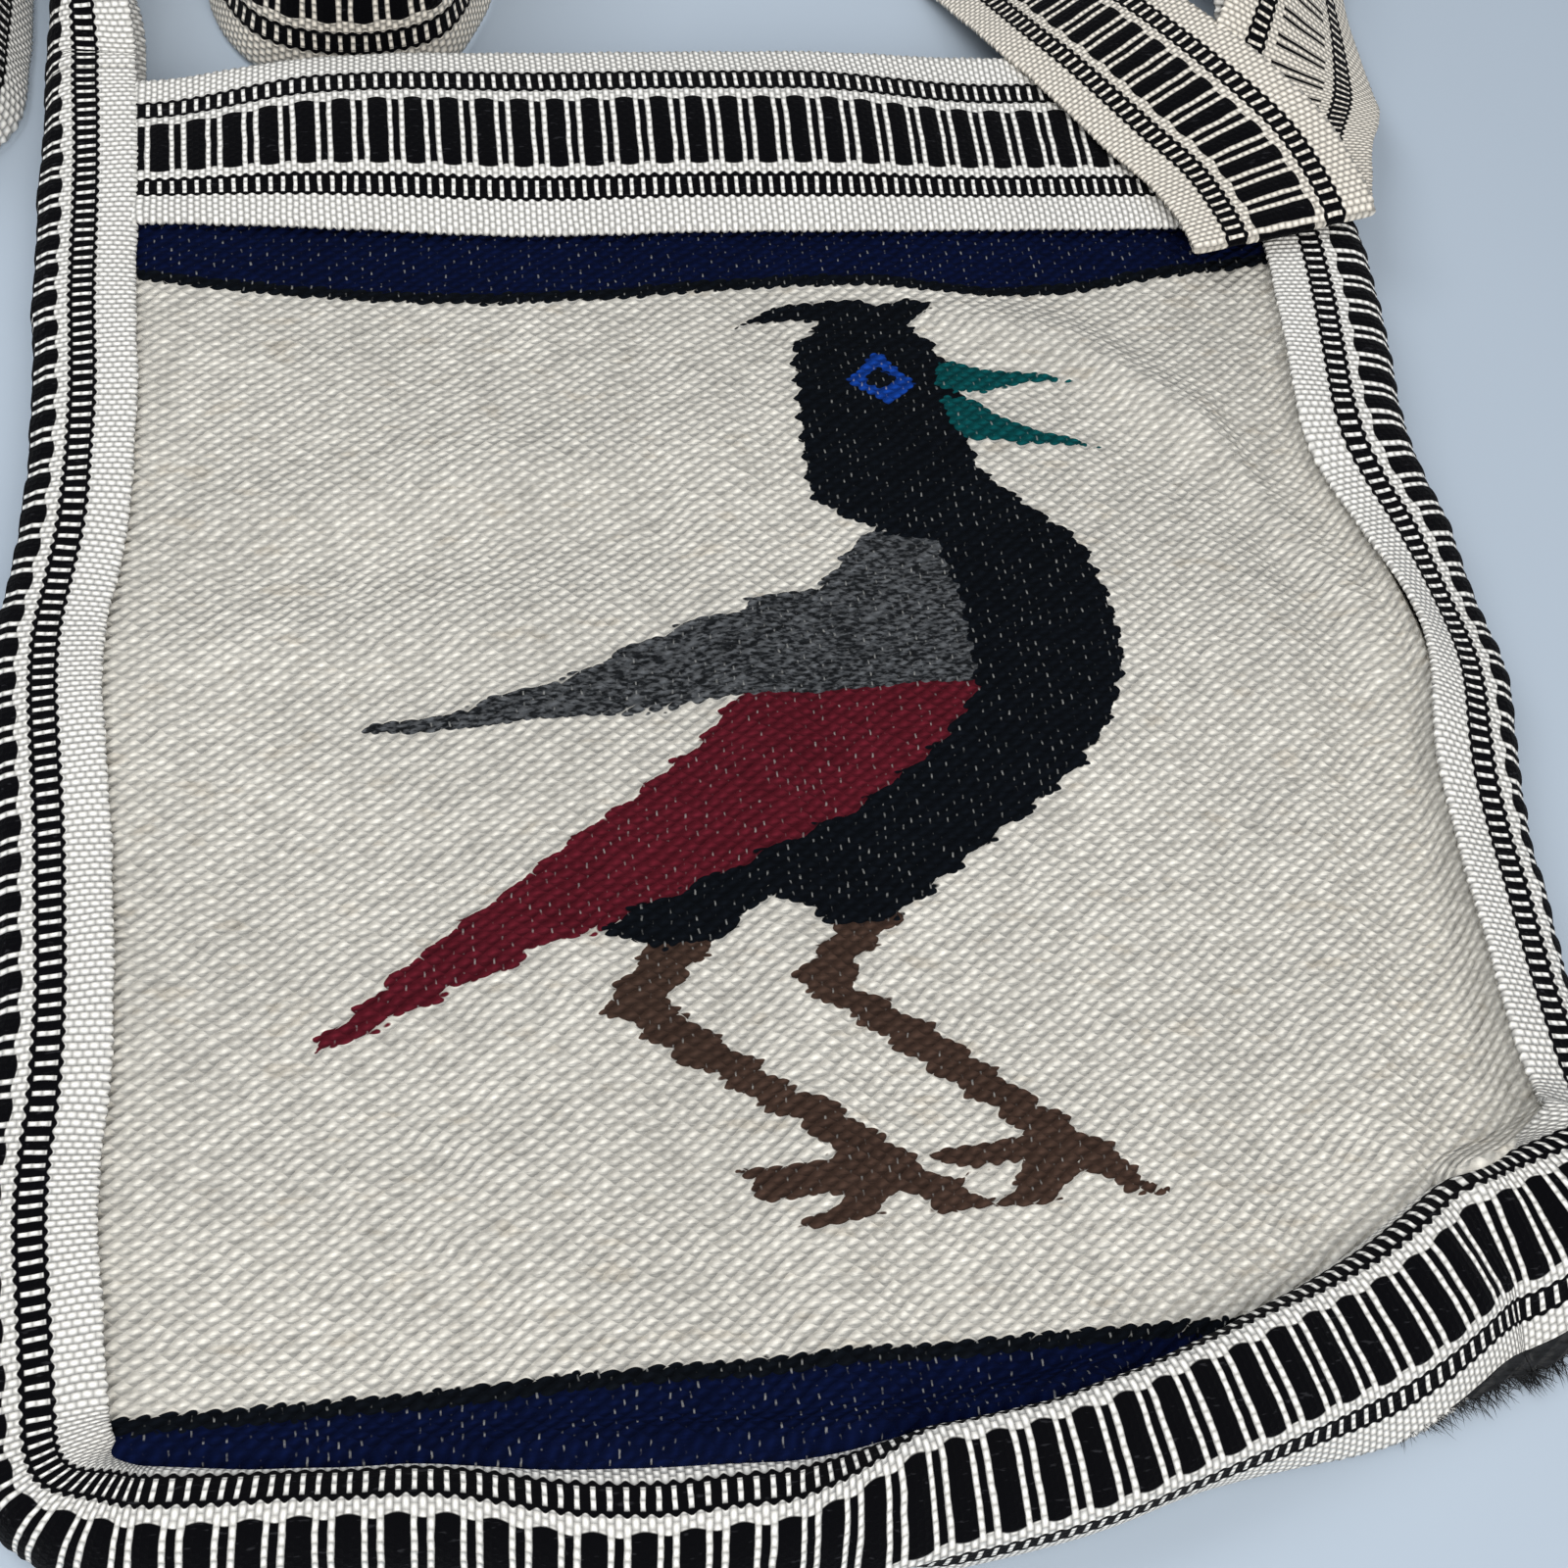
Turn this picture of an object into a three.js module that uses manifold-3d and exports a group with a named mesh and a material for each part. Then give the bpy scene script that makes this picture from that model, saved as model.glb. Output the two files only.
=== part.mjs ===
// A woven wool shoulder bag, lying on its back with its strap heaped above the mouth.
// Millimetres. +X is to the right, +Y towards the mouth, +Z up out of the front panel.
// The origin is on the table, under the middle of the back panel.
import * as THREE from 'three';
import { mergeVertices } from 'three/addons/utils/BufferGeometryUtils.js';
import Module from 'manifold-3d';

const wasm = await Module();
wasm.setup();

// Wool panels
const PANEL_HALF_WIDTH = 136; // between the side bands, at the mouth
const SIDE_BULGE = 5; // how far the sides belly out at half height
const MOUTH_Y = 178;
const BOTTOM_Y = -160; // the seam at the foot of the front panel
const CORNER_RADIUS = 24;
const WOOL_THICKNESS = 2.6;
const BELLY_HEIGHT = 4; // the slack panel stands this much over its edges

// The lower right corner of the front has rolled up over itself
const ROLL_RISE = 38; // how far the seam has moved up the bag there
const ROLL_START_X = -12;
const ROLL_FADE = 90; // the shift dies away over this height
const ROLL_LIFT = 8; // the back seam is this far off the table there
const ROLL_SIDE_LIFT = 12; // and this far up the right side, next to the corner

// Woven band
const BAND_WIDTH = 50;
const BAND_THICKNESS = 1.8;
const BLOCK_WIDTH = 17; // the row of dark blocks along the middle
const RIDGE_HEIGHT = 0.45;
const PATTERN_REPEAT = 8.4;
const FLAT_LAP = 13; // what lies flat on each panel
const SEAM_ALLOWANCE = 8; // panel edge held under the band
const CLEARANCE = 0.35;
const RELIEF = 0.5; // woven fields stand this proud of the ground weave
const FIELD_MARGIN = 2; // a field stops this far short of a band
const SLOPE_RUN = 10; // the back panel comes down to the table over this length

const SIDE_STATIONS = 12;
const BOTTOM_STATIONS = 26;
const BEND_STEP = 0.5;
const MERGE_TOLERANCE = 0.01;
const DEGREE = Math.PI / 180;

const WOOL_CREAM = 0xd9d2c4;
const WOOL_CHARCOAL = 0x3b3c40;
const BAND_CREAM = 0xe6dfd2;

const seamOffset = BAND_THICKNESS / 2 + CLEARANCE + WOOL_THICKNESS / 2;

function smooth(low, high, value) {
  const t = THREE.MathUtils.clamp((value - low) / (high - low), 0, 1);
  return t * t * (3 - 2 * t);
}

// The seam line in plan: down the left, along the bottom, up the right

function rolledShare(x) {
  return smooth(ROLL_START_X, PANEL_HALF_WIDTH, x);
}

function settle(point) {
  const middle = (MOUTH_Y + BOTTOM_Y) / 2;
  const reach = (MOUTH_Y - BOTTOM_Y) / 2;
  const fromMiddle = (point.y - middle) / reach;
  const belly = (1 - fromMiddle * fromMiddle) ** 2;
  const bulge = SIDE_BULGE * belly * (point.x / PANEL_HALF_WIDTH);
  const near = 1 - smooth(BOTTOM_Y, BOTTOM_Y + ROLL_FADE, point.y);
  const x = point.x + bulge;
  return new THREE.Vector2(x, point.y + ROLL_RISE * near * rolledShare(x));
}

function seamSide(fromMouth) {
  const outline = new THREE.Path();
  const cornerX = PANEL_HALF_WIDTH - CORNER_RADIUS;
  const cornerY = BOTTOM_Y + CORNER_RADIUS;
  if (fromMouth === 'left') {
    outline.moveTo(-PANEL_HALF_WIDTH, MOUTH_Y);
    outline.lineTo(-PANEL_HALF_WIDTH, cornerY);
    outline.absarc(-cornerX, cornerY, CORNER_RADIUS, Math.PI, Math.PI * 1.25, false);
  } else if (fromMouth === 'bottom') {
    outline.absarc(-cornerX, cornerY, CORNER_RADIUS, Math.PI * 1.25, Math.PI * 1.5, false);
    outline.lineTo(cornerX, BOTTOM_Y);
    outline.absarc(cornerX, cornerY, CORNER_RADIUS, Math.PI * 1.5, Math.PI * 1.75, false);
  } else {
    outline.absarc(cornerX, cornerY, CORNER_RADIUS, Math.PI * 1.75, Math.PI * 2, false);
    outline.lineTo(PANEL_HALF_WIDTH, MOUTH_Y);
  }
  const pointCount = 240;
  const settled = outline.getSpacedPoints(pointCount).map(settle);
  const lengths = [0];
  for (let i = 1; i < settled.length; i += 1) {
    lengths.push(lengths[i - 1] + settled[i].distanceTo(settled[i - 1]));
  }
  return { points: settled, lengths, length: lengths.at(-1) };
}

const seamSides = ['left', 'bottom', 'right'].map(seamSide);
const seamLength = seamSides.reduce((sum, side) => sum + side.length, 0);

function seamPoint(along) {
  let rest = THREE.MathUtils.clamp(along, 0, seamLength);
  let side = seamSides[0];
  for (const next of seamSides) {
    side = next;
    if (rest <= next.length || next === seamSides.at(-1)) break;
    rest -= next.length;
  }
  let i = 1;
  while (i < side.points.length - 1 && side.lengths[i] < rest) i += 1;
  const share = (rest - side.lengths[i - 1]) / (side.lengths[i] - side.lengths[i - 1]);
  return side.points[i - 1].clone().lerp(side.points[i], Math.min(share, 1));
}

function seamFrame(along) {
  const step = 2;
  const from = seamPoint(along - step);
  const to = seamPoint(along + step);
  const heading = to.sub(from).normalize();
  const outward = new THREE.Vector2(heading.y, -heading.x);
  return { point: seamPoint(along), outward };
}

// The band's section round the edge of the bag, as its slope at each distance across the band

const backLap = BAND_WIDTH - FLAT_LAP;
const blockStart = (BAND_WIDTH - BLOCK_WIDTH) / 2;
const blockEnd = (BAND_WIDTH + BLOCK_WIDTH) / 2;
const SIDE_SLOPES = [[0, 0], [FLAT_LAP, 0], [backLap, -180], [BAND_WIDTH, -180]];
const BOTTOM_SLOPES = [[0, 18], [FLAT_LAP, 18], [blockStart + 3, -50], [blockEnd - 3, -78],
  [backLap, -180], [BAND_WIDTH, -180]];
const ROLLED_SLOPES = [[0, 75], [SEAM_ALLOWANCE, 75], [FLAT_LAP, -10], [blockStart + 2, -38],
  [blockEnd, -50], [backLap, -66], [BAND_WIDTH, -76]];

function slopeAt(table, across) {
  let i = 1;
  while (i < table.length - 1 && table[i][0] < across) i += 1;
  const [startAcross, startSlope] = table[i - 1];
  const [endAcross, endSlope] = table[i];
  return startSlope + (endSlope - startSlope) * (across - startAcross) / (endAcross - startAcross);
}

// How far the seam has turned from a side to the bottom, and how far the band there is rolled
const TURN_BEGINS = 0.25;
const TURN_ENDS = 0.95;
const ROLL_BEGINS = 0.15;
const ROLL_ENDS = 0.85;

function turnedDown(frame) {
  return smooth(TURN_BEGINS, TURN_ENDS, -frame.outward.y);
}

function rolledOver(frame) {
  return smooth(ROLL_BEGINS, ROLL_ENDS, rolledShare(frame.point.x));
}

function bandSlope(frame, across) {
  const facingDown = turnedDown(frame);
  const rolled = facingDown * rolledOver(frame);
  const onSide = slopeAt(SIDE_SLOPES, across);
  const plain = THREE.MathUtils.lerp(onSide, slopeAt(BOTTOM_SLOPES, across), facingDown);
  return DEGREE * THREE.MathUtils.lerp(plain, slopeAt(ROLLED_SLOPES, across), rolled);
}

function bandFoot(frame) {
  const facingDown = turnedDown(frame);
  const rolled = rolledOver(frame);
  const corner = BOTTOM_Y + ROLL_RISE;
  const nearCorner = 1 - smooth(corner, corner + ROLL_FADE, frame.point.y);
  const lift = THREE.MathUtils.lerp(ROLL_SIDE_LIFT * nearCorner, ROLL_LIFT, facingDown);
  return BAND_THICKNESS / 2 + lift * rolled;
}

// Points across the band at one place on the seam, each with the direction its face looks
function bandSection(along, acrossList) {
  const frame = seamFrame(along);
  const outs = [];
  const heights = [];
  let out = 0;
  let height = 0;
  let across = 0;
  for (const target of acrossList) {
    while (across < target - BEND_STEP / 10) {
      const step = Math.min(BEND_STEP, target - across);
      const slope = bandSlope(frame, across + step / 2);
      out += step * Math.cos(slope);
      height += step * Math.sin(slope);
      across += step;
    }
    outs.push(out);
    heights.push(height);
  }
  let drop = height;
  while (across < BAND_WIDTH - BEND_STEP / 10) {
    const step = Math.min(BEND_STEP, BAND_WIDTH - across);
    drop += step * Math.sin(bandSlope(frame, across + step / 2));
    across += step;
  }
  const seamHeight = bandFoot(frame) - drop;
  return acrossList.map((target, i) => {
    const slope = bandSlope(frame, target);
    const up = new THREE.Vector3(frame.outward.x, frame.outward.y, 0).multiplyScalar(-Math.sin(slope));
    up.z = Math.cos(slope);
    const point = new THREE.Vector3(frame.point.x, frame.point.y, seamHeight + heights[i]);
    point.x += frame.outward.x * outs[i];
    point.y += frame.outward.y * outs[i];
    return { point, up };
  });
}

// A sheet of cloth: points with the way they face, and triangles that face that way

class Sheet {
  constructor() {
    this.points = [];
    this.ups = [];
    this.rises = [];
    this.triangles = [];
  }

  add(point, up, rise = 0) {
    this.points.push(point.clone());
    this.ups.push(up.clone().normalize());
    this.rises.push(rise);
    return this.points.length - 1;
  }

  quad(a, b, c, d) {
    this.triangles.push([a, b, c], [a, c, d]);
  }

  // rows run along the sheet; each row lists its points from left to right when facing the sheet
  grid(rows) {
    for (let i = 1; i < rows.length; i += 1) {
      for (let j = 1; j < rows[i].length; j += 1) {
        this.quad(rows[i - 1][j - 1], rows[i - 1][j], rows[i][j], rows[i][j - 1]);
      }
    }
  }

  solid(below, above) {
    const count = this.points.length;
    const positions = [];
    for (let i = 0; i < count; i += 1) {
      const top = this.points[i].clone().addScaledVector(this.ups[i], above + this.rises[i]);
      positions.push(top.x, top.y, top.z);
    }
    for (let i = 0; i < count; i += 1) {
      const base = this.points[i].clone().addScaledVector(this.ups[i], -below);
      positions.push(base.x, base.y, base.z);
    }
    const index = [];
    const rim = new Map();
    for (const [a, b, c] of this.triangles) {
      index.push(a, b, c, a + count, c + count, b + count);
      for (const [p, q] of [[a, b], [b, c], [c, a]]) {
        if (rim.has(`${q}_${p}`)) rim.delete(`${q}_${p}`);
        else rim.set(`${p}_${q}`, [p, q]);
      }
    }
    for (const [p, q] of rim.values()) {
      index.push(p, p + count, q + count, p, q + count, q);
    }
    const geometry = new THREE.BufferGeometry();
    geometry.setAttribute('position', new THREE.Float32BufferAttribute(positions, 3));
    geometry.setIndex(index);
    return geometry;
  }
}

function manifoldOf(geometry) {
  const bare = geometry.clone();
  bare.deleteAttribute('normal');
  bare.deleteAttribute('uv');
  const merged = mergeVertices(bare, 1e-4);
  return new wasm.Manifold(new wasm.Mesh({
    numProp: 3,
    vertProperties: new Float32Array(merged.attributes.position.array),
    triVerts: new Uint32Array(merged.index.array),
  }));
}

function geometryOf(manifold) {
  const mesh = manifold.getMesh();
  const geometry = new THREE.BufferGeometry();
  geometry.setAttribute('position', new THREE.BufferAttribute(new Float32Array(mesh.vertProperties), 3));
  geometry.setIndex(new THREE.BufferAttribute(new Uint32Array(mesh.triVerts), 1));
  return withoutSlivers(geometry);
}

// Corners snap to a fine grid, and triangles that collapse are dropped
function withoutSlivers(geometry) {
  const corners = geometry.attributes.position.array;
  for (let i = 0; i < corners.length; i += 1) {
    corners[i] = Math.round(corners[i] / MERGE_TOLERANCE) * MERGE_TOLERANCE;
  }
  const merged = mergeVertices(geometry, MERGE_TOLERANCE);
  const kept = [];
  const index = merged.index.array;
  for (let i = 0; i < index.length; i += 3) {
    const [a, b, c] = index.slice(i, i + 3);
    if (a !== b && b !== c && c !== a) kept.push(a, b, c);
  }
  merged.setIndex(kept);
  return merged;
}

// Places along the seam that both panels share, closer together towards the bottom corners
const CORNER_CROWDING = 0.6;

function panelStations() {
  const [left, bottom] = seamSides;
  const stations = [];
  const mouthBreaks = [0, BAND_WIDTH + CLEARANCE, BAND_WIDTH + CLEARANCE + SLOPE_RUN];
  const spread = (from, to, steps, crowd) => {
    for (let i = 1; i <= steps; i += 1) stations.push(from + (to - from) * crowd(i / steps));
  };
  const even = (share) => share;
  const closerAtEnd = (share) => share * (1 + CORNER_CROWDING * (1 - share));
  const closerAtStart = (share) => share * (1 - CORNER_CROWDING * (1 - share));
  stations.push(...mouthBreaks);
  spread(mouthBreaks.at(-1), left.length, SIDE_STATIONS, closerAtEnd);
  spread(left.length, left.length + bottom.length, BOTTOM_STATIONS, even);
  spread(left.length + bottom.length, seamLength - mouthBreaks.at(-1), SIDE_STATIONS, closerAtStart);
  stations.push(seamLength - mouthBreaks[1], seamLength);
  return stations;
}

const upwards = new THREE.Vector3(0, 0, 1);
const stations = panelStations();
const sideSteps = SIDE_STATIONS + 2;

// Front panel: a slack patch between its four edges, and the allowance under the band
// Its belly fades out towards the sides, the bottom and the mouth
const BELLY_SIDE_SHARE = 0.3;
const BELLY_BOTTOM_SHARE = 0.35;
const BELLY_MOUTH_RUN = 70;

function frontPanelSheet() {
  const sheet = new Sheet();
  const edge = [];
  const edgeUps = [];
  const allowance = [];
  for (const along of stations) {
    const [inner, outer] = bandSection(along, [0, SEAM_ALLOWANCE]);
    const passUnder = (1 - inner.up.z) * seamOffset;
    const edgePoint = inner.point.addScaledVector(inner.up, -seamOffset);
    edge.push(edgePoint.setZ(edgePoint.z - passUnder));
    edgeUps.push(inner.up.add(upwards).normalize());
    allowance.push(sheet.add(outer.point.addScaledVector(outer.up, -seamOffset), outer.up));
  }
  const last = stations.length - 1;
  const bottomSteps = last - 2 * sideSteps;
  const leftEdge = (i) => edge[sideSteps - i];
  const rightEdge = (i) => edge[last - sideSteps + i];
  const bottomEdge = (j) => edge[sideSteps + j];
  const topEdge = (j) => leftEdge(sideSteps).clone().lerp(rightEdge(sideSteps), j / bottomSteps);
  const rows = [];
  for (let i = 0; i <= sideSteps; i += 1) {
    const row = [];
    for (let j = 0; j <= bottomSteps; j += 1) {
      const s = j / bottomSteps;
      const t = i / sideSteps;
      const acrossPoint = leftEdge(i).clone().lerp(rightEdge(i), s);
      const upPoint = bottomEdge(j).clone().lerp(topEdge(j), t);
      const low = bottomEdge(0).clone().lerp(bottomEdge(bottomSteps), s);
      const high = topEdge(0).clone().lerp(topEdge(bottomSteps), s);
      const point = acrossPoint.add(upPoint).sub(low.lerp(high, t));
      const clear = MOUTH_Y - BAND_WIDTH - SLOPE_RUN;
      const fromSides = smooth(0, BELLY_SIDE_SHARE, Math.min(s, 1 - s));
      const fromBottom = smooth(0, BELLY_BOTTOM_SHARE, t);
      const rise = fromSides * fromBottom * smooth(0, BELLY_MOUTH_RUN, clear - point.y);
      point.z += BELLY_HEIGHT * rise;
      row.push(sheet.add(point, upwards));
    }
    rows.unshift(row);
  }
  sheet.grid(rows.toReversed());
  const rim = [];
  for (let k = 0; k <= last; k += 1) {
    if (k <= sideSteps) rim.push(rows[k][0]);
    else if (k <= sideSteps + bottomSteps) rim.push(rows.at(-1)[k - sideSteps]);
    else rim.push(rows[last - k].at(-1));
  }
  rim.forEach((i, k) => {
    sheet.ups[i] = edgeUps[k];
  });
  for (let k = 1; k <= last; k += 1) {
    sheet.quad(rim[k - 1], allowance[k - 1], allowance[k], rim[k]);
  }
  return sheet;
}

// Woven figures and stripes, as outlines in plan

const stripeHalf = PANEL_HALF_WIDTH - FIELD_MARGIN;
const trimFoot = MOUTH_Y - BAND_WIDTH;
const FIELD_OUTLINES = {
  topStripe: [[-stripeHalf, 110], [stripeHalf, 110], [stripeHalf, trimFoot - FIELD_MARGIN],
    [-stripeHalf, trimFoot - FIELD_MARGIN]],
  bottomStripe: [[-118, -154], [-6, -154], [36, -146], [-122, -146]],
  body: [[13, 92], [9, 72], [10, 46], [22, 36], [40, 34], [42, 12], [34, -9], [-6, -43], [-43, -57],
    [-30, -63], [-20, -61], [-9, -52], [8, -60], [22, -46], [63, -15], [76, 6], [73, 34], [51, 55],
    [46, 87]],
  wing: [[23, 34], [38, 32], [40, 12], [38, -4], [-14, -5], [-88, -8], [-62, 3], [-11, 18], [11, 22]],
  tail: [[-13, -7], [32, -7], [-7, -41], [-43, -55], [-100, -80], [-45, -35]],
  crest: [[2, 94], [12, 101], [48, 101], [38, 94]],
  upperBeak: [[48, 84], [80, 81], [49, 76]],
  lowerBeak: [[50, 73], [83, 60], [51, 61]],
  leftLeg: [[-33, -59], [-45, -73], [-4, -104], [-22, -106], [-19, -112], [-5, -110], [-16, -121],
    [2, -113], [18, -121], [-34, -73], [-22, -58]],
  rightLeg: [[3, -56], [-6, -72], [34, -99], [20, -102], [22, -108], [36, -106], [24, -117], [42, -110],
    [62, -109], [5, -72], [13, -56]],
};

function fieldPrism(outline, height) {
  const shape = new THREE.Shape(outline.map(([x, y]) => new THREE.Vector2(x, y)));
  return new THREE.ExtrudeGeometry(shape, { depth: height, bevelEnabled: false, steps: 1 });
}

function frontPanel() {
  const sheet = frontPanelSheet();
  let panel = manifoldOf(sheet.solid(WOOL_THICKNESS / 2, WOOL_THICKNESS / 2));
  const raised = manifoldOf(sheet.solid(WOOL_THICKNESS / 4, WOOL_THICKNESS / 2 + RELIEF));
  const tallest = BAND_WIDTH;
  for (const outline of Object.values(FIELD_OUTLINES)) {
    const field = manifoldOf(fieldPrism(outline, tallest)).intersect(raised);
    panel = panel.add(field);
  }
  return geometryOf(panel);
}

// Back panel: flat on the table in the middle, lifted over the band and trim along its edges

function backPanel() {
  const sheet = new Sheet();
  const raisedMiddle = BAND_THICKNESS + CLEARANCE + WOOL_THICKNESS / 2;
  const edge = [];
  const lap = [];
  const foot = [];
  const last = stations.length - 1;
  stations.forEach((along, k) => {
    const [outer, inner] = bandSection(along, [BAND_WIDTH - SEAM_ALLOWANCE, BAND_WIDTH]);
    const frame = seamFrame(along);
    edge.push(sheet.add(outer.point.addScaledVector(outer.up, -seamOffset), outer.up.negate()));
    const lapPoint = inner.point.clone().addScaledVector(inner.up, -seamOffset);
    lap.push(sheet.add(lapPoint, inner.up.clone().negate()));
    const footPoint = lapPoint.clone();
    footPoint.x -= frame.outward.x * SLOPE_RUN;
    footPoint.y -= frame.outward.y * SLOPE_RUN;
    const besideTrim = k <= 1 || k >= last - 1;
    footPoint.y = besideTrim ? frame.point.y : footPoint.y;
    footPoint.z = besideTrim ? raisedMiddle : WOOL_THICKNESS / 2;
    foot.push(sheet.add(footPoint, upwards));
  });
  for (let k = 1; k <= last; k += 1) {
    sheet.quad(edge[k - 1], edge[k], lap[k], lap[k - 1]);
    sheet.quad(foot[k - 1], lap[k - 1], lap[k], foot[k]);
  }
  sheet.quad(foot[1], foot[last - 1], foot[last], foot[0]);
  sheet.quad(foot[2], foot[last - 2], foot[last - 1], foot[1]);
  const flat = foot.slice(2, last - 1);
  const outline = flat.map((i) => new THREE.Vector2(sheet.points[i].x, sheet.points[i].y));
  for (const [a, b, c] of THREE.ShapeUtils.triangulateShape(outline, [])) {
    sheet.triangles.push([flat[a], flat[b], flat[c]]);
  }
  return sheet.solid(WOOL_THICKNESS / 2, WOOL_THICKNESS / 2);
}

// The band round the sides and bottom, thicker along its row of dark blocks

const ACROSS = [0, SEAM_ALLOWANCE, FLAT_LAP, blockStart + 3, BAND_WIDTH / 2, blockEnd - 3, backLap,
  BAND_WIDTH - SEAM_ALLOWANCE, BAND_WIDTH];
const RAISED = ACROSS.map((across) => across > blockStart && across < blockEnd);

function gussetBand() {
  const sheet = new Sheet();
  const rows = stations.map((along) => {
    const section = bandSection(along, ACROSS);
    return section.map(({ point, up }, j) => sheet.add(point, up, RAISED[j] ? RIDGE_HEIGHT : 0));
  });
  sheet.grid(rows);
  return sheet.solid(BAND_THICKNESS / 2, BAND_THICKNESS / 2);
}

// The band sewn flat along the mouth, on the outside of a panel

function mouthTrim(height, facing, ridge) {
  const sheet = new Sheet();
  const half = seamPoint(seamLength - BAND_WIDTH).x - CLEARANCE;
  const narrow = PANEL_HALF_WIDTH - CLEARANCE;
  const steps = ridge > 0 ? 2 * Math.round(2 * narrow / PATTERN_REPEAT) : 2;
  const lines = [0, blockStart, BAND_WIDTH / 2, blockEnd, BAND_WIDTH];
  const up = new THREE.Vector3(0, 0, facing);
  const rows = [];
  for (let i = 0; i <= steps; i += 1) {
    const share = 2 * i / steps - 1;
    rows.push(lines.map((across) => {
      const reach = THREE.MathUtils.lerp(narrow, Math.min(half, narrow), across / BAND_WIDTH);
      const point = new THREE.Vector3(share * reach, MOUTH_Y - across, height);
      const crest = i % 2 === 1 && across > blockStart && across < blockEnd;
      return sheet.add(point, up, crest ? ridge : 0);
    }));
  }
  sheet.grid(facing > 0 ? rows : rows.toReversed());
  return sheet.solid(BAND_THICKNESS / 2, BAND_THICKNESS / 2);
}

// The shoulder strap carries the band on from the right side of the mouth to the left.
// Each place on it: x, y from that mouth corner, height, the way the band's width points
// (compass angle and tilt), and how far the band is still curled round as it is on the bag.

const sideHalf = (backLap - FLAT_LAP) / Math.PI;
const curlReach = FLAT_LAP + sideHalf;
const curlHeight = BAND_THICKNESS / 2 + sideHalf;
const STRAP_FROM_RIGHT = [
  [curlReach, CLEARANCE, curlHeight, 0, -90, 1], [curlReach, 7, curlHeight, 0, -90, 1],
  [curlReach - 1, 19, 10.5, 0, -80, 0.8], [17, 36, 13.5, 0, -50, 0.45], [14, 58, 7, 0, -14, 0.1],
  [13, 76, 2.2, 0, 0, 0], [13.5, 90, 3, 0, 0, 0], [15, 100, 17, 0, 0, 0], [17, 93, 31, 0, -6, 0],
  [23, 74, 35.5, -4, -22, 0], [27, 56, 31, -7, -38, 0], [28, 38, 24, -8, -46, 0], [25, 17, 20.5, -10, -36, 0],
  [18, -6, 17.8, -8, -14, 0], [8, -28, 19.2, -2, -4, 0], [3, -50, 19.4, 8, 0, 0], [2, -57.6, 19.8, 13, 0, 0],
  [1.6, -59.6, 21, 14, 0, 0], [1.2, -57.6, 22.2, 15, 1, 0], [-5, -37, 23.6, 22, 6, 0],
  [-16, -19.5, 24, 30, 8, 0],
  [-30, 5, 21.5, 36, 4, 0], [-38, 21, 17.5, 37, 1, 0], [-44, 41, 10, 37, 0, 0], [-51, 60, 4, 40, 0, 0],
  [-63, 78, 2.2, 50, 0, 0], [-84, 93, 2.6, 66, 3, 0], [-112, 98, 7, 82, 18, 0], [-142, 91, 17, 98, 46, 0],
  [-168, 76, 24, 116, 70, 0], [-186, 56, 25.3, 142, 76, 0], [-193, 37, 25.3, 160, 76, 0],
  [-202, 22, 25.3, 125, 75, 0], [-221, 17, 25.3, 90, 74, 0], [-240, 22, 25.3, 55, 75, 0],
];
const STRAP_FROM_LEFT = [
  [23, 38, 25.3, 15, 76, 0], [22, 62, 25.5, 5, 80, 0], [18, 84, 25.5, 50, 80, 0], [6, 102, 25, 70, 78, 0],
  [-14, 110, 22, 90, 55, 0], [-36, 112, 11, 90, 15, 0], [-56, 111, 12, 95, -25, 0],
  [-74, 102, 21, 125, -58, 0],
  [-83, 84, 25.3, 165, -76, 0], [-84, 57, 25.3, 180, -80, 0], [-82, 27, 25.3, 180, -82, 0],
  [-78, 2, 25.3, 200, -84, 0], [-66, -14, 25.3, 250, -84, 0], [-52, -15, 24.5, 300, -78, 0],
  [-41, -2, 22.8, 345, -64, 0],
  [-39.5, 17, 22.8, 0, -61, 0], [-38, 42, 23.3, 0, -65, 0], [-36, 67, 25, 0, -76, 0],
  [-32, 84, 25.5, 0, -86, 0],
  [-25, 92, 25.5, 0, -88, 0], [-18, 84, 25.5, 0, -88, 0], [-16, 67, 25, 0, -88, 0],
  [-17, 44, 21, 0, -89, 0.3],
  [-19, 24, 13, 0, -89, 0.75], [-curlReach, 7, curlHeight, 0, -90, 1],
  [-curlReach, CLEARANCE, curlHeight, 0, -90, 1],
];
const STRAP_ACROSS = [0, FLAT_LAP, blockStart + 3, BAND_WIDTH / 2, blockEnd - 3, backLap, BAND_WIDTH];
const STRAP_STEPS = 100;
// A band that lies flat keeps its width level through a fold; one on edge keeps it square to the way it runs
const FLAT_WIDTH_RISE = 0.15;
const STEEP_WIDTH_RISE = 0.5;

function pointing(compass, tilt) {
  const level = Math.cos(tilt);
  return new THREE.Vector3(level * Math.cos(compass), level * Math.sin(compass), Math.sin(tilt));
}

function strapPlaces() {
  const fromCorner = (side) => ([x, y, z, compass, tilt, curl]) => ({
    point: new THREE.Vector3(side * PANEL_HALF_WIDTH + x, MOUTH_Y + y, z),
    width: pointing(compass * DEGREE, tilt * DEGREE),
    curl,
  });
  return [...STRAP_FROM_RIGHT.map(fromCorner(1)), ...STRAP_FROM_LEFT.map(fromCorner(-1))];
}

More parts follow.
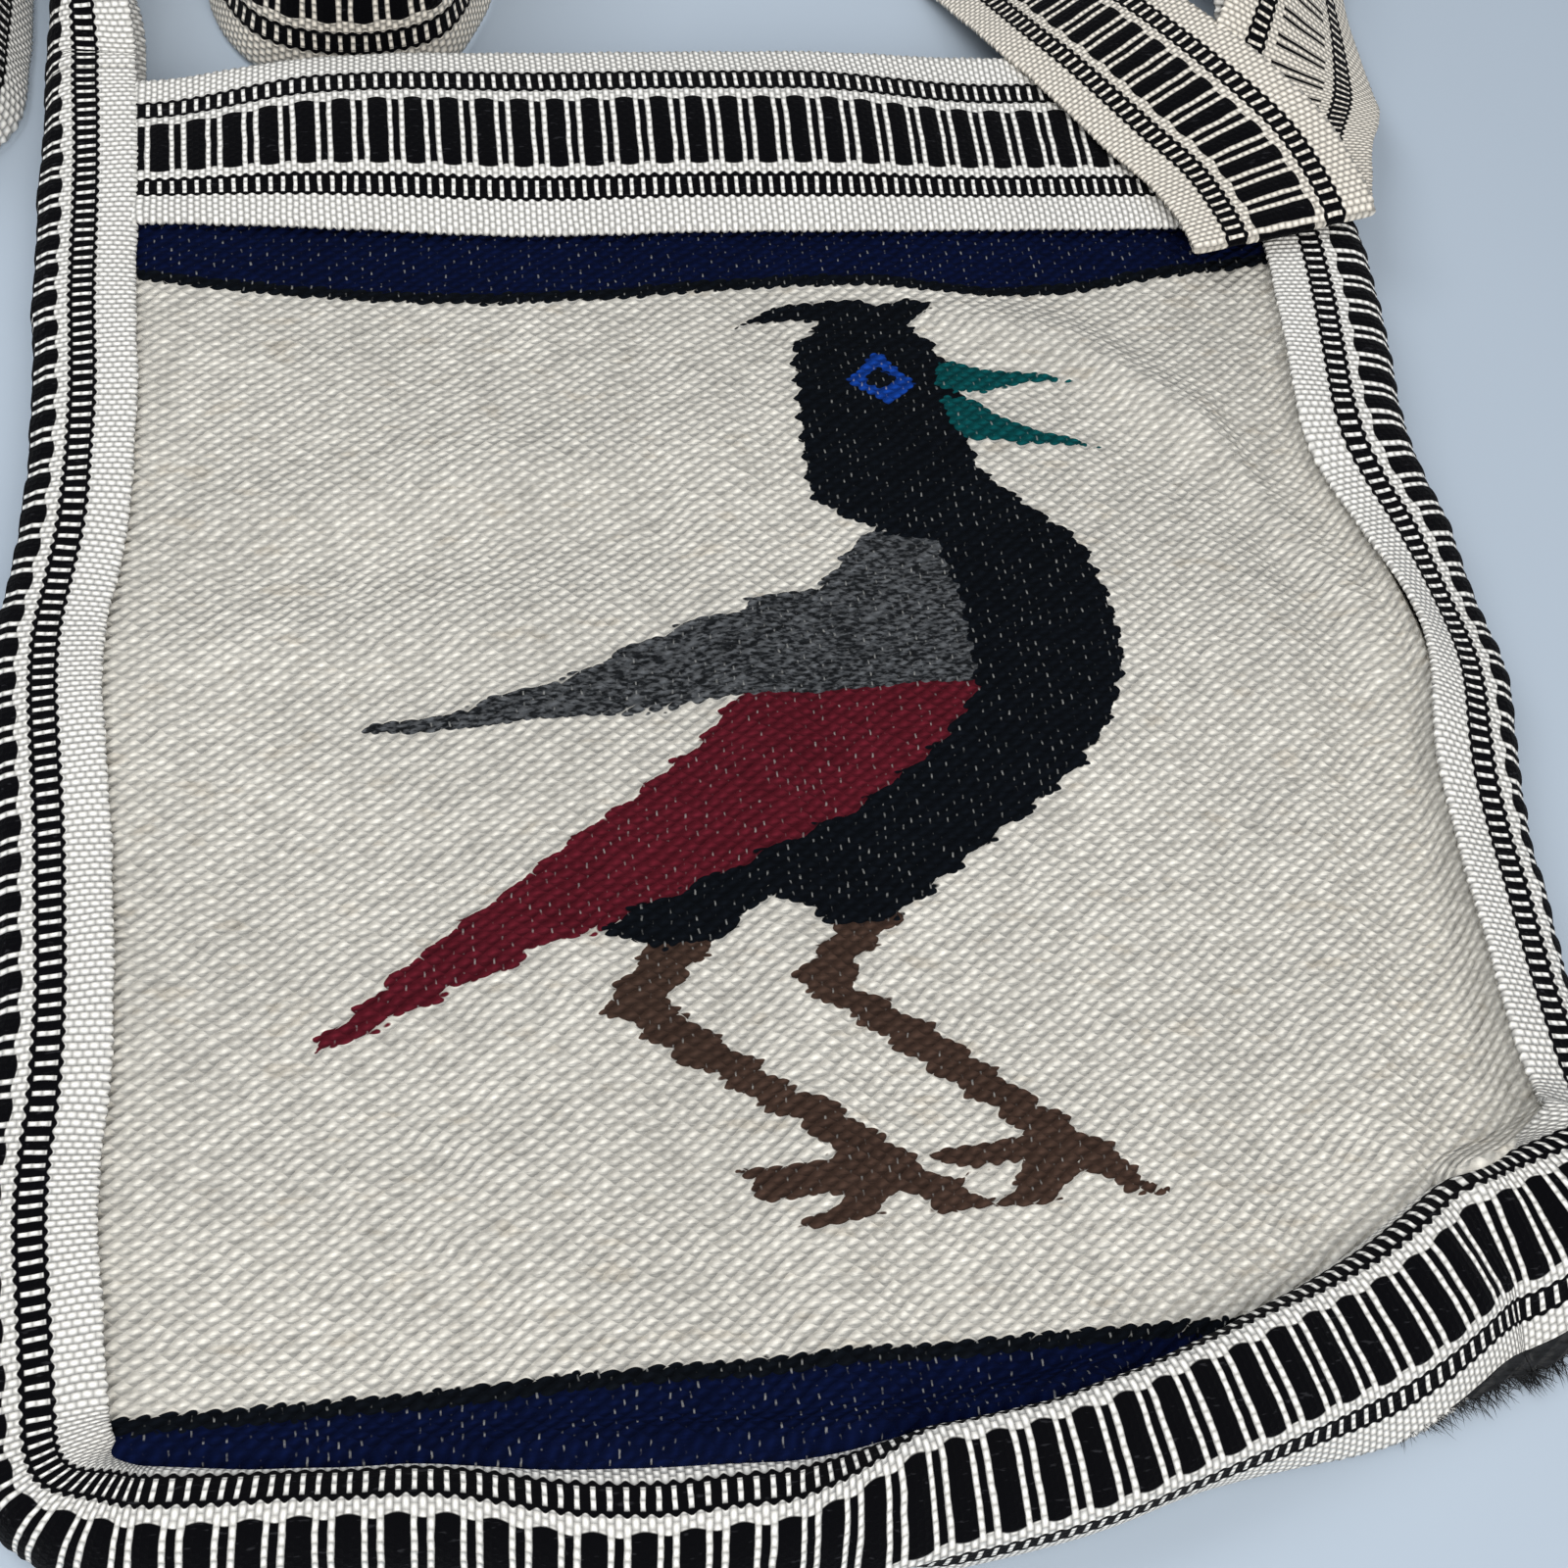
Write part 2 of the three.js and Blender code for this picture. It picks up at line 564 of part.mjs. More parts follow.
function shoulderStrap() {
  const places = strapPlaces();
  const route = new THREE.CatmullRomCurve3(places.map((place) => place.point), false, 'centripetal');
  const widths = new THREE.CatmullRomCurve3(places.map((place) => place.width), false, 'catmullrom', 0.5);
  const curls = new THREE.CatmullRomCurve3(places.map((place) => new THREE.Vector3(place.curl, 0, 0)));
  const sheet = new Sheet();
  const rows = [];
  for (let i = 0; i <= STRAP_STEPS; i += 1) {
    const t = i / STRAP_STEPS;
    const centre = route.getPoint(t);
    const heading = route.getTangent(t);
    const width = widths.getPoint(t);
    const squared = smooth(FLAT_WIDTH_RISE, STEEP_WIDTH_RISE, Math.abs(width.z));
    width.addScaledVector(heading, -squared * width.dot(heading)).normalize();
    const face = new THREE.Vector3().crossVectors(width, heading).normalize();
    const curl = THREE.MathUtils.clamp(curls.getPoint(t).x, 0, 1);
    const section = strapSection(curl).map(({ along, out, slope }) => ({
      point: centre.clone().addScaledVector(width, along).addScaledVector(face, out),
      up: face.clone().multiplyScalar(Math.cos(slope)).addScaledVector(width, -Math.sin(slope)),
    }));
    const lowest = Math.min(...section.map(({ point }) => point.z));
    const lift = Math.max(0, BAND_THICKNESS - lowest);
    rows.push(section.map(({ point, up }) => sheet.add(point.setZ(point.z + lift), up)));
  }
  sheet.grid(rows);
  return sheet.solid(BAND_THICKNESS / 2, BAND_THICKNESS / 2);
}

// The band's own section about its middle line: flat, or curled back on both sides
function strapSection(curl) {
  const middle = BAND_WIDTH / 2;
  const slopeOf = (across) => curl * DEGREE * (slopeAt(SIDE_SLOPES, across) + 90);
  return STRAP_ACROSS.map((target) => {
    const steps = Math.max(1, Math.round(Math.abs(target - middle) / BEND_STEP));
    const step = (target - middle) / steps;
    let along = 0;
    let out = 0;
    for (let i = 0; i < steps; i += 1) {
      const slope = slopeOf(middle + step * (i + 0.5));
      along += step * Math.cos(slope);
      out += step * Math.sin(slope);
    }
    return { along, out, slope: slopeOf(target) };
  });
}

// Assembly

const group = new THREE.Group();

function addPiece(name, geometry, colour) {
  const material = new THREE.MeshStandardMaterial({ color: colour, roughness: 0.95, metalness: 0 });
  const mesh = new THREE.Mesh(geometry, material);
  mesh.name = name;
  group.add(mesh);
}

const [mouthLap] = bandSection(0, [0]);
addPiece('front_panel', frontPanel(), WOOL_CREAM);
addPiece('back_panel', backPanel(), WOOL_CHARCOAL);
addPiece('gusset_band', gussetBand(), BAND_CREAM);
addPiece('front_mouth_trim', mouthTrim(mouthLap.point.z, 1, RIDGE_HEIGHT), BAND_CREAM);
addPiece('back_mouth_trim', mouthTrim(BAND_THICKNESS / 2, -1, 0), BAND_CREAM);
addPiece('shoulder_strap', shoulderStrap(), BAND_CREAM);

export default group;
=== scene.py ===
import math

import bpy
import numpy as np
from mathutils import Matrix, Vector


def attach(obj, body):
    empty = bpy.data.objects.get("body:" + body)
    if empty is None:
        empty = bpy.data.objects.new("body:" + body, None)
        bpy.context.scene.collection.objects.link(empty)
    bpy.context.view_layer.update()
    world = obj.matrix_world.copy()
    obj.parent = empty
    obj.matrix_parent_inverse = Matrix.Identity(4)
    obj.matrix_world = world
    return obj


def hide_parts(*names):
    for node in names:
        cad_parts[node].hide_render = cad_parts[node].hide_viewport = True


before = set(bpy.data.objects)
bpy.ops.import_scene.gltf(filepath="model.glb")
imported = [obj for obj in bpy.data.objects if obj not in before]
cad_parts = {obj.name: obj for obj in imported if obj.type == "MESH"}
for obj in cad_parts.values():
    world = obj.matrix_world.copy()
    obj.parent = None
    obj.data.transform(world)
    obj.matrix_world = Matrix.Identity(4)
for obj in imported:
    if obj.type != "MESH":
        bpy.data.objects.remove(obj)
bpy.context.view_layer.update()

# A woven wool shoulder bag, lying on its back with its strap heaped above the mouth.
# Sizes and places are in millimetres, and meshes are made at MM, in metres.
MM = 0.001

# Wool panels
PANEL_HALF_WIDTH = 136.0
SIDE_BULGE = 5.0
MOUTH_Y = 178.0
BOTTOM_Y = -160.0
LEFT_CORNER = 6.0
RIGHT_CORNER = 16.0
WOOL_THICKNESS = 2.6
WEFT_ROW = 1.38
WEFT_FLECK = 3.85
BELLY_HEIGHT = 2.4
LEAST_HEIGHT = 7.0
PANEL_STEP = 1.5
BACK_GRID = (200, 136)
UNDER_BAND = 3.0
FIGURE_RELIEF = 0.25

# The lower right corner of the front has rolled up over itself, and the back's edge shows below it
ROLL_RISE = 38.0
ROLL_START_X = -12.0
ROLL_FADE = 90.0
ROLL_SIDE_LIFT = 6.0
LOOSE_EDGE = 7.0
LOOSE_MIDDLE = 128.0
LOOSE_REACH = 24.0
LOOSE_HAIRS = 420
HAIR_RINGS = 4
HAIR_RADIUS = 0.13
HAIR_ROOT = 1.5
HAIR_LENGTHS = (1.8, 5.5)
BACK_EDGE_HEIGHT = 3.5
CEILING_CLIMB = 0.3
CEILING_SLACK = 1.5
CEILING_OFF = 30.0

# Woven band
BAND_WIDTH = 50.0
BAND_HALF = 0.85
BAND_THICKNESS = 1.8
BLOCK_HALF = 8.5
LINE_EDGE = 10.9
LADDER_EDGE = 17.0
PATTERN_REPEAT = 8.4
PICKS_PER_REPEAT = 6
WIDE_BAR = 0.55
NARROW_BAR_START = 0.675
NARROW_BAR = 0.2
BLOCK_SHIFT = 0.055
STRAND = 1.9
BAND_STEP = PATTERN_REPEAT / 12
FLAT_LAP = 13.0
CLEARANCE = 0.35
SLOPE_RUN = 10.0
BACK_LAP = BAND_WIDTH - FLAT_LAP
TRIM_TUCK = 5.0
TRIM_TUCK_DEPTH = 2.2
MOUTH_SLACK = 5.5
SEAM_OFFSET = BAND_THICKNESS / 2 + CLEARANCE + WOOL_THICKNESS / 2
ACROSS = np.array([0, 0.8, 3, 5.5, 7.6, 8.4, 11, 13.7, 14.5, 16.1, 16.9, 19, 22, 25,
                   28, 31, 33.1, 33.9, 35.5, 36.3, 39, 41.6, 42.4, 44.5, 47, 49.2, 50])

# Colours, linear, of yarns, floor and sky, and the lean of the twill's fibres
CREAM_WOOL = (0.62, 0.595, 0.535)
NAVY_WOOL = (0.0016, 0.0042, 0.0245)
BLACK_WOOL = (0.0028, 0.004, 0.0062)
GREY_WOOL = (0.088, 0.093, 0.099)
GREY_DARK = (0.013, 0.0145, 0.0165)
BURGUNDY_WOOL = (0.09, 0.008, 0.015)
BROWN_WOOL = (0.052, 0.03, 0.022)
TEAL_WOOL = (0.002, 0.06, 0.064)
BLUE_WOOL = (0.005, 0.04, 0.25)
CHARCOAL_WOOL = (0.015, 0.016, 0.0175)
BAND_CREAM = (0.88, 0.86, 0.81)
STRAP_CREAM = (0.85, 0.79, 0.69)
BAND_BLACK = (0.0012, 0.0012, 0.002)
WARM_WOOL = (0.42, 0.34, 0.23)
WARP_YARN = (0.4, 0.4, 0.38)
PALE_FIBRE = (0.25, 0.25, 0.28)
FLOOR_COLOUR = (0.41, 0.475, 0.55)
SKY_COLOUR = (0.86, 0.92, 1, 1)
TWILL_LEAN = math.radians(-28)

# How finely the seam, the band's section and the strap's route are followed
SIDE_STEPS, TURN_STEPS, FOOT_STEPS = 400, 81, 300
BEND_STEP = 0.5
BEND_STEPS = np.arange(BEND_STEP / 2, BAND_WIDTH, BEND_STEP)
BEND_GRID = np.arange(0, BAND_WIDTH + BEND_STEP / 2, BEND_STEP)
BAND_STATIONS = 1200
ROUTE_STEPS = 4000

# Camera and studio; the floor's sizes are in metres
LENS = 52.42
CAMERA_PLACE = (-80.6, -250.8, 420.7)
CAMERA_RIGHT = (0.9853, -0.1231, 0.1181)
CAMERA_UP = (0.0495, 0.8690, 0.4924)
FLOOR_SIZE = 24
FLOOR_DROP = 0.0002
SKY_STRENGTH = 0.4


# Shape helpers

def smooth(low, high, value):
    t = np.clip((value - low) / (high - low), 0, 1)
    return t * t * (3 - 2 * t)


def bump_at(value, centre, reach):
    return np.exp(-((value - centre) / reach) ** 2)


def ripple(value, length, phase):
    """An uneven wave of about that length."""
    turn = 2 * np.pi * value / length
    return 0.6 * np.sin(turn + phase) + 0.4 * np.sin(1.73 * turn + 2.3 * phase + 1)


def unit(vectors):
    return vectors / np.maximum(np.linalg.norm(vectors, axis=-1, keepdims=True), 1e-9)


def step_lengths(points):
    return np.linalg.norm(np.diff(points, axis=0), axis=-1)


def summed(steps, axis=0):
    """Steps added up from 0."""
    return np.insert(np.cumsum(steps, axis=axis), 0, 0, axis=axis)


# The seam line in plan: down the left, along the bottom, up the right

def rolled_share(x):
    return smooth(ROLL_START_X, PANEL_HALF_WIDTH, x)


# How far the edges have drifted in plan: place up a side with drift to the right, or along the foot with rise
LEFT_DRIFT = [(-150, 0), (-125, -1.5), (-104, -2.3), (-80, 1.5), (-60, 2.6), (-25, 2.3), (12, 0), (46, 4.9),
              (80, 5.1), (111, 2.6), (145, 1.5), (178, 0)]
RIGHT_DRIFT = [(-120, 0), (-87, -3.8), (-53, -3.4), (-28, -3), (-2, 2.4), (13, 0), (30, -4), (46, -8.4),
               (60, -10.5), (78, -8.4), (111, -3.5), (140, -3), (165, -1), (178, 0)]
FOOT_DRIFT = [(-140, 11), (-125, 9), (-108, 5.5), (-90, 4), (-60, 3), (-30, 1.5), (0, -1.5), (12, -2.3),
              (39, -6), (58, -6.5), (75, -5.5), (87, -4.5), (94, -3.5), (100, -1), (106, 1.5), (115, 4),
              (121, 5), (128, 4.5), (134, 3), (140, 2)]


def along_table(value, table):
    """A table read with its corners rounded off."""
    places, values = np.array(table, dtype=float).T
    return np.mean([np.interp(value + shift, places, values) for shift in (-9, -6, -3, 0, 3, 6, 9)], axis=0)


def settle(x, y):
    """A point of the panel's plain outline, moved to where the slack bag lies."""
    from_middle = (y - (MOUTH_Y + BOTTOM_Y) / 2) / ((MOUTH_Y - BOTTOM_Y) / 2)
    x = x + SIDE_BULGE * (1 - from_middle ** 2) ** 2 * x / PANEL_HALF_WIDTH
    near = 1 - smooth(BOTTOM_Y, BOTTOM_Y + ROLL_FADE, y)
    y = y + near * (ROLL_RISE * rolled_share(x) + along_table(x, FOOT_DRIFT))
    mouth = 1 - smooth(MOUTH_Y - 12, MOUTH_Y, y)
    right = smooth(95, 125, x) * mouth * along_table(y, RIGHT_DRIFT)
    left = smooth(95, 125, -x) * mouth * along_table(y, LEFT_DRIFT)
    return x + right + left, y


def seam_line():
    """Points on the seam, the length up to each, and the lengths at the middles of both bottom corners."""
    down = np.linspace(MOUTH_Y, BOTTOM_Y + LEFT_CORNER, SIDE_STEPS)
    turn = np.linspace(0, math.pi / 2, TURN_STEPS)
    along = np.linspace(LEFT_CORNER - PANEL_HALF_WIDTH, PANEL_HALF_WIDTH - RIGHT_CORNER, FOOT_STEPS)
    up = np.linspace(BOTTOM_Y + RIGHT_CORNER, MOUTH_Y, SIDE_STEPS)
    side = np.full(SIDE_STEPS, PANEL_HALF_WIDTH)
    x = np.concatenate([-side, along[0] - LEFT_CORNER * np.cos(turn)[1:], along[1:],
                        along[-1] + RIGHT_CORNER * np.sin(turn)[1:], side[1:]])
    y = np.concatenate([down, down[-1] - LEFT_CORNER * np.sin(turn)[1:], np.full(FOOT_STEPS - 1, BOTTOM_Y),
                        up[0] - RIGHT_CORNER * np.cos(turn)[1:], up[1:]])
    x, y = settle(x, y)
    run = summed(np.hypot(np.diff(x), np.diff(y)))
    left_middle = SIDE_STEPS + TURN_STEPS // 2
    right_middle = left_middle + TURN_STEPS + FOOT_STEPS - 2
    return x, y, run, run[left_middle], run[right_middle]


SEAM_X, SEAM_Y, SEAM_RUN, LEFT_END, RIGHT_START = seam_line()
SEAM_LENGTH = SEAM_RUN[-1]


def seam_frame(along):
    """The seam's point and the way out of the bag there, in plan."""
    def at(run):
        run = np.clip(run, 0, SEAM_LENGTH)
        return np.stack([np.interp(run, SEAM_RUN, SEAM_X), np.interp(run, SEAM_RUN, SEAM_Y)], -1)
    heading = unit(at(along + 3) - at(along - 3))
    return at(along), np.stack([heading[..., 1], -heading[..., 0]], -1)


# The band's section round the edge of the bag, as its slope in degrees at each distance across it
SIDE_SLOPES = [[0, 0], [FLAT_LAP, 0], [BACK_LAP, -180], [BAND_WIDTH, -180]]
LEFT_SLOPES = [[0, 2], [8, -3], [14, -10], [19.5, -16], [23, -80], [31, -95], [35, -180], [BAND_WIDTH, -180]]
FOOT_SLOPES = [[0, 66], [7, 64], [9, 26], [14, 6], [16.5, -20], [24, -55], [33, -90], [BACK_LAP, -170],
               [BAND_WIDTH, -180]]
ROLL_SLOPES = [[0, 94], [11, 92], [14, 50], [16.5, -5], [20, -22], [32, -28], [35, -60], [BACK_LAP, -82],
               [44, -90], [BAND_WIDTH, -100]]
ROLL_END_SLOPES = [[0, 88], [9, 80], [12, 40], [14, 5], [18.5, -12], [31, -18], [34.5, -45], [BAND_WIDTH, -45]]
# Up the right side, the lap's own slope and where the band starts to turn under
RIGHT_DIP = [(-120, -20), (-87, -18), (-53, -16), (-30, -20), (-18, -22), (13, -32), (30, -14),
             (46, -3), (78, 0), (178, 0)]
RIGHT_TURN = [(-120, 14), (-87, 14.5), (-53, 15), (-30, 16.5), (13, 19), (46, 21), (78, 21), (178, 20.5)]
# Along the foot, how far the inner selvedge is tucked in beyond its own slope
FOOT_TUCK = [(-122, 0), (-108, 20), (-78, 22), (-62, -10), (-45, -26), (-25, -8), (0, 0)]


def slope_at(table, across):
    places, slopes = np.array(table).T
    return np.interp(across, places, slopes)


def right_slopes(y):
    dip = float(along_table(y, RIGHT_DIP))
    turn = float(along_table(y, RIGHT_TURN))
    under = turn + 22 + 0.15 * min(dip, 0)
    return [[0, dip], [7.5, dip], [10.5, 0.45 * dip], [turn, 0.45 * dip - 6], [under, -180], [BAND_WIDTH, -180]]


def at_mouth(y):
    """0 down the sides and 1 at the mouth, where the band lies as on a plain flat edge."""
    return smooth(MOUTH_Y - 34, MOUTH_Y - 6, y)


def section_slopes(point, outward):
    """The band's slopes where the seam passes a point, from how it lies on each side and along the foot."""
    x, y = point
    facing_down = smooth(0.25, 0.95, -outward[1])
    side = slope_at(LEFT_SLOPES if x < 0 else right_slopes(y), BEND_STEPS)
    plain = at_mouth(y)
    side = side * (1 - plain) + slope_at(SIDE_SLOPES, BEND_STEPS) * plain
    rolled = smooth(-22, 8, x)
    ended = smooth(42, 102, x)
    foot = slope_at(FOOT_SLOPES, BEND_STEPS) * (1 - rolled) + slope_at(ROLL_SLOPES, BEND_STEPS) * rolled
    foot = foot * (1 - ended) + slope_at(ROLL_END_SLOPES, BEND_STEPS) * ended
    return side * (1 - facing_down) + foot * facing_down, facing_down, rolled


def band_rows(alongs, across):
    """Points on the band's middle surface round the bag, one row for each place along the seam."""
    points = np.zeros((len(alongs), len(across), 3))
    for row, along in enumerate(alongs):
        point, outward = seam_frame(along)
        slopes, facing_down, rolled = section_slopes(point, outward)
        lap = 1 - smooth(5, FLAT_LAP + 3, BEND_STEPS)
        slopes = slopes + lap * facing_down * (1 - rolled) * along_table(point[0], FOOT_TUCK)
        below_mouth = 1 - at_mouth(point[1])
        slopes = slopes + lap * (1 - facing_down) * below_mouth * 4 * ripple(along, 70, 2.0)
        slopes = np.radians(slopes)
        outs = summed(BEND_STEP * np.cos(slopes))
        heights = summed(BEND_STEP * np.sin(slopes))
        corner = BOTTOM_Y + ROLL_RISE
        near_corner = 1 - smooth(corner, corner + ROLL_FADE, point[1])
        lift = ROLL_SIDE_LIFT * near_corner * (1 - facing_down) * smooth(0.15, 0.85, rolled_share(point[0]))
        heights = heights * (1 + lift / np.ptp(heights))
        out = np.interp(across, BEND_GRID, outs)
        points[row, :, 0] = point[0] + outward[0] * out
        points[row, :, 1] = point[1] + outward[1] * out
        points[row, :, 2] = BAND_THICKNESS / 2 - heights.min() + np.interp(across, BEND_GRID, heights)
    return points


# Cloth as closed meshes

def placed(name, data):
    thing = bpy.data.objects.new(name, data)
    bpy.context.scene.collection.objects.link(thing)
    return thing


def grid_normals(points):
    return unit(np.cross(np.gradient(points, axis=1), np.gradient(points, axis=0)))


def cloth_mesh(name, front, back, uv, materials):
    """A closed sheet between two grids of points, with the weave's own coordinates as its UV map."""
    rows, columns = front.shape[:2]
    count = rows * columns
    index = np.arange(count).reshape(rows, columns)
    a, b = index[:-1, :-1].ravel(), index[:-1, 1:].ravel()
    c, d = index[1:, 1:].ravel(), index[1:, :-1].ravel()
    rim = np.concatenate([index[0, :], index[1:, -1], index[-1, -2::-1], index[-2:0:-1, 0]])
    after = np.roll(rim, -1)
    faces = np.concatenate([np.stack([a, d, c, b], -1), np.stack([a, b, c, d], -1) + count,
                            np.stack([rim, after, after + count, rim + count], -1)])
    mesh = bpy.data.meshes.new(name)
    mesh.from_pydata((np.concatenate([front.reshape(-1, 3), back.reshape(-1, 3)]) * MM).tolist(), [],
                     faces.tolist())
    layer = mesh.uv_layers.new(name="weave")
    both = np.concatenate([uv.reshape(-1, 2)] * 2)
    layer.data.foreach_set("uv", both[faces.ravel()].astype(np.float32).ravel())
    for material in materials:
        mesh.materials.append(material)
    reverse = np.zeros(len(faces), dtype=np.int32)
    reverse[len(a):] = len(materials) - 1
    mesh.polygons.foreach_set("material_index", reverse)
    rounded = np.ones(len(faces), dtype=bool)
    first_end = 2 * len(a)
    last_end = first_end + columns + rows - 2
    rounded[first_end:first_end + columns - 1] = False
    rounded[last_end:last_end + columns - 1] = False
    mesh.polygons.foreach_set("use_smooth", rounded)
    mesh.validate()
    piece = placed(name, mesh)
    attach(piece, "root")
    return piece


def band_relief(along, across):
    """How far the woven pattern stands proud: puffed dark blocks, a raised line, sunk ladders."""
    from_middle = np.abs(across - BAND_WIDTH / 2)
    phase = np.mod(along / PATTERN_REPEAT - BLOCK_SHIFT, 1)
    wide = np.where(phase < WIDE_BAR, np.sin(np.pi * phase / WIDE_BAR), 0)
    narrow_phase = (phase - NARROW_BAR_START) / NARROW_BAR
    narrow = np.where((narrow_phase > 0) & (narrow_phase < 1), np.sin(np.pi * narrow_phase), 0)
    in_blocks = 1 - smooth(BLOCK_HALF - 0.9, BLOCK_HALF + 0.2, from_middle)
    line = smooth(BLOCK_HALF, BLOCK_HALF + 1, from_middle)
    line = line * (1 - smooth(LINE_EDGE - 0.6, LINE_EDGE, from_middle))
    ladder = smooth(LINE_EDGE, LINE_EDGE + 1, from_middle)
    ladder = ladder * (1 - smooth(LADDER_EDGE - 1, LADDER_EDGE, from_middle))
    return in_blocks * (0.5 * wide ** 0.5 + 0.28 * narrow ** 0.5) + 0.2 * line - 0.15 * ladder


def band_piece(name, middles, alongs, across, materials):
    """A stretch of band on its middle surface, scalloped along both selvedges."""
    normals = grid_normals(middles)
    sideways = unit(np.gradient(middles, axis=1))
    scallop = (0.55 + 0.2 * ripple(alongs, 23, 0.7)) * np.abs(np.sin(4 * np.pi * alongs / PATTERN_REPEAT))
    middles = middles.copy()
    middles[:, 0] -= sideways[:, 0] * scallop[:, None]
    middles[:, -1] += sideways[:, -1] * scallop[:, None]
    along_grid, across_grid = np.meshgrid(alongs, across, indexing="ij")
    relief = band_relief(along_grid, across_grid)
    edge = smooth(0, 1.2, np.minimum(across_grid, BAND_WIDTH - across_grid))
    thick = BAND_HALF * (0.55 + 0.45 * edge)
    front = middles + normals * (thick + relief)[..., None]
    back = middles - normals * thick[..., None]
    front[..., 2], back[..., 2] = np.maximum(front[..., 2], 0), np.maximum(back[..., 2], 0)
    uv = np.stack([along_grid, across_grid], -1)
    return cloth_mesh(name, front, back, uv, materials)


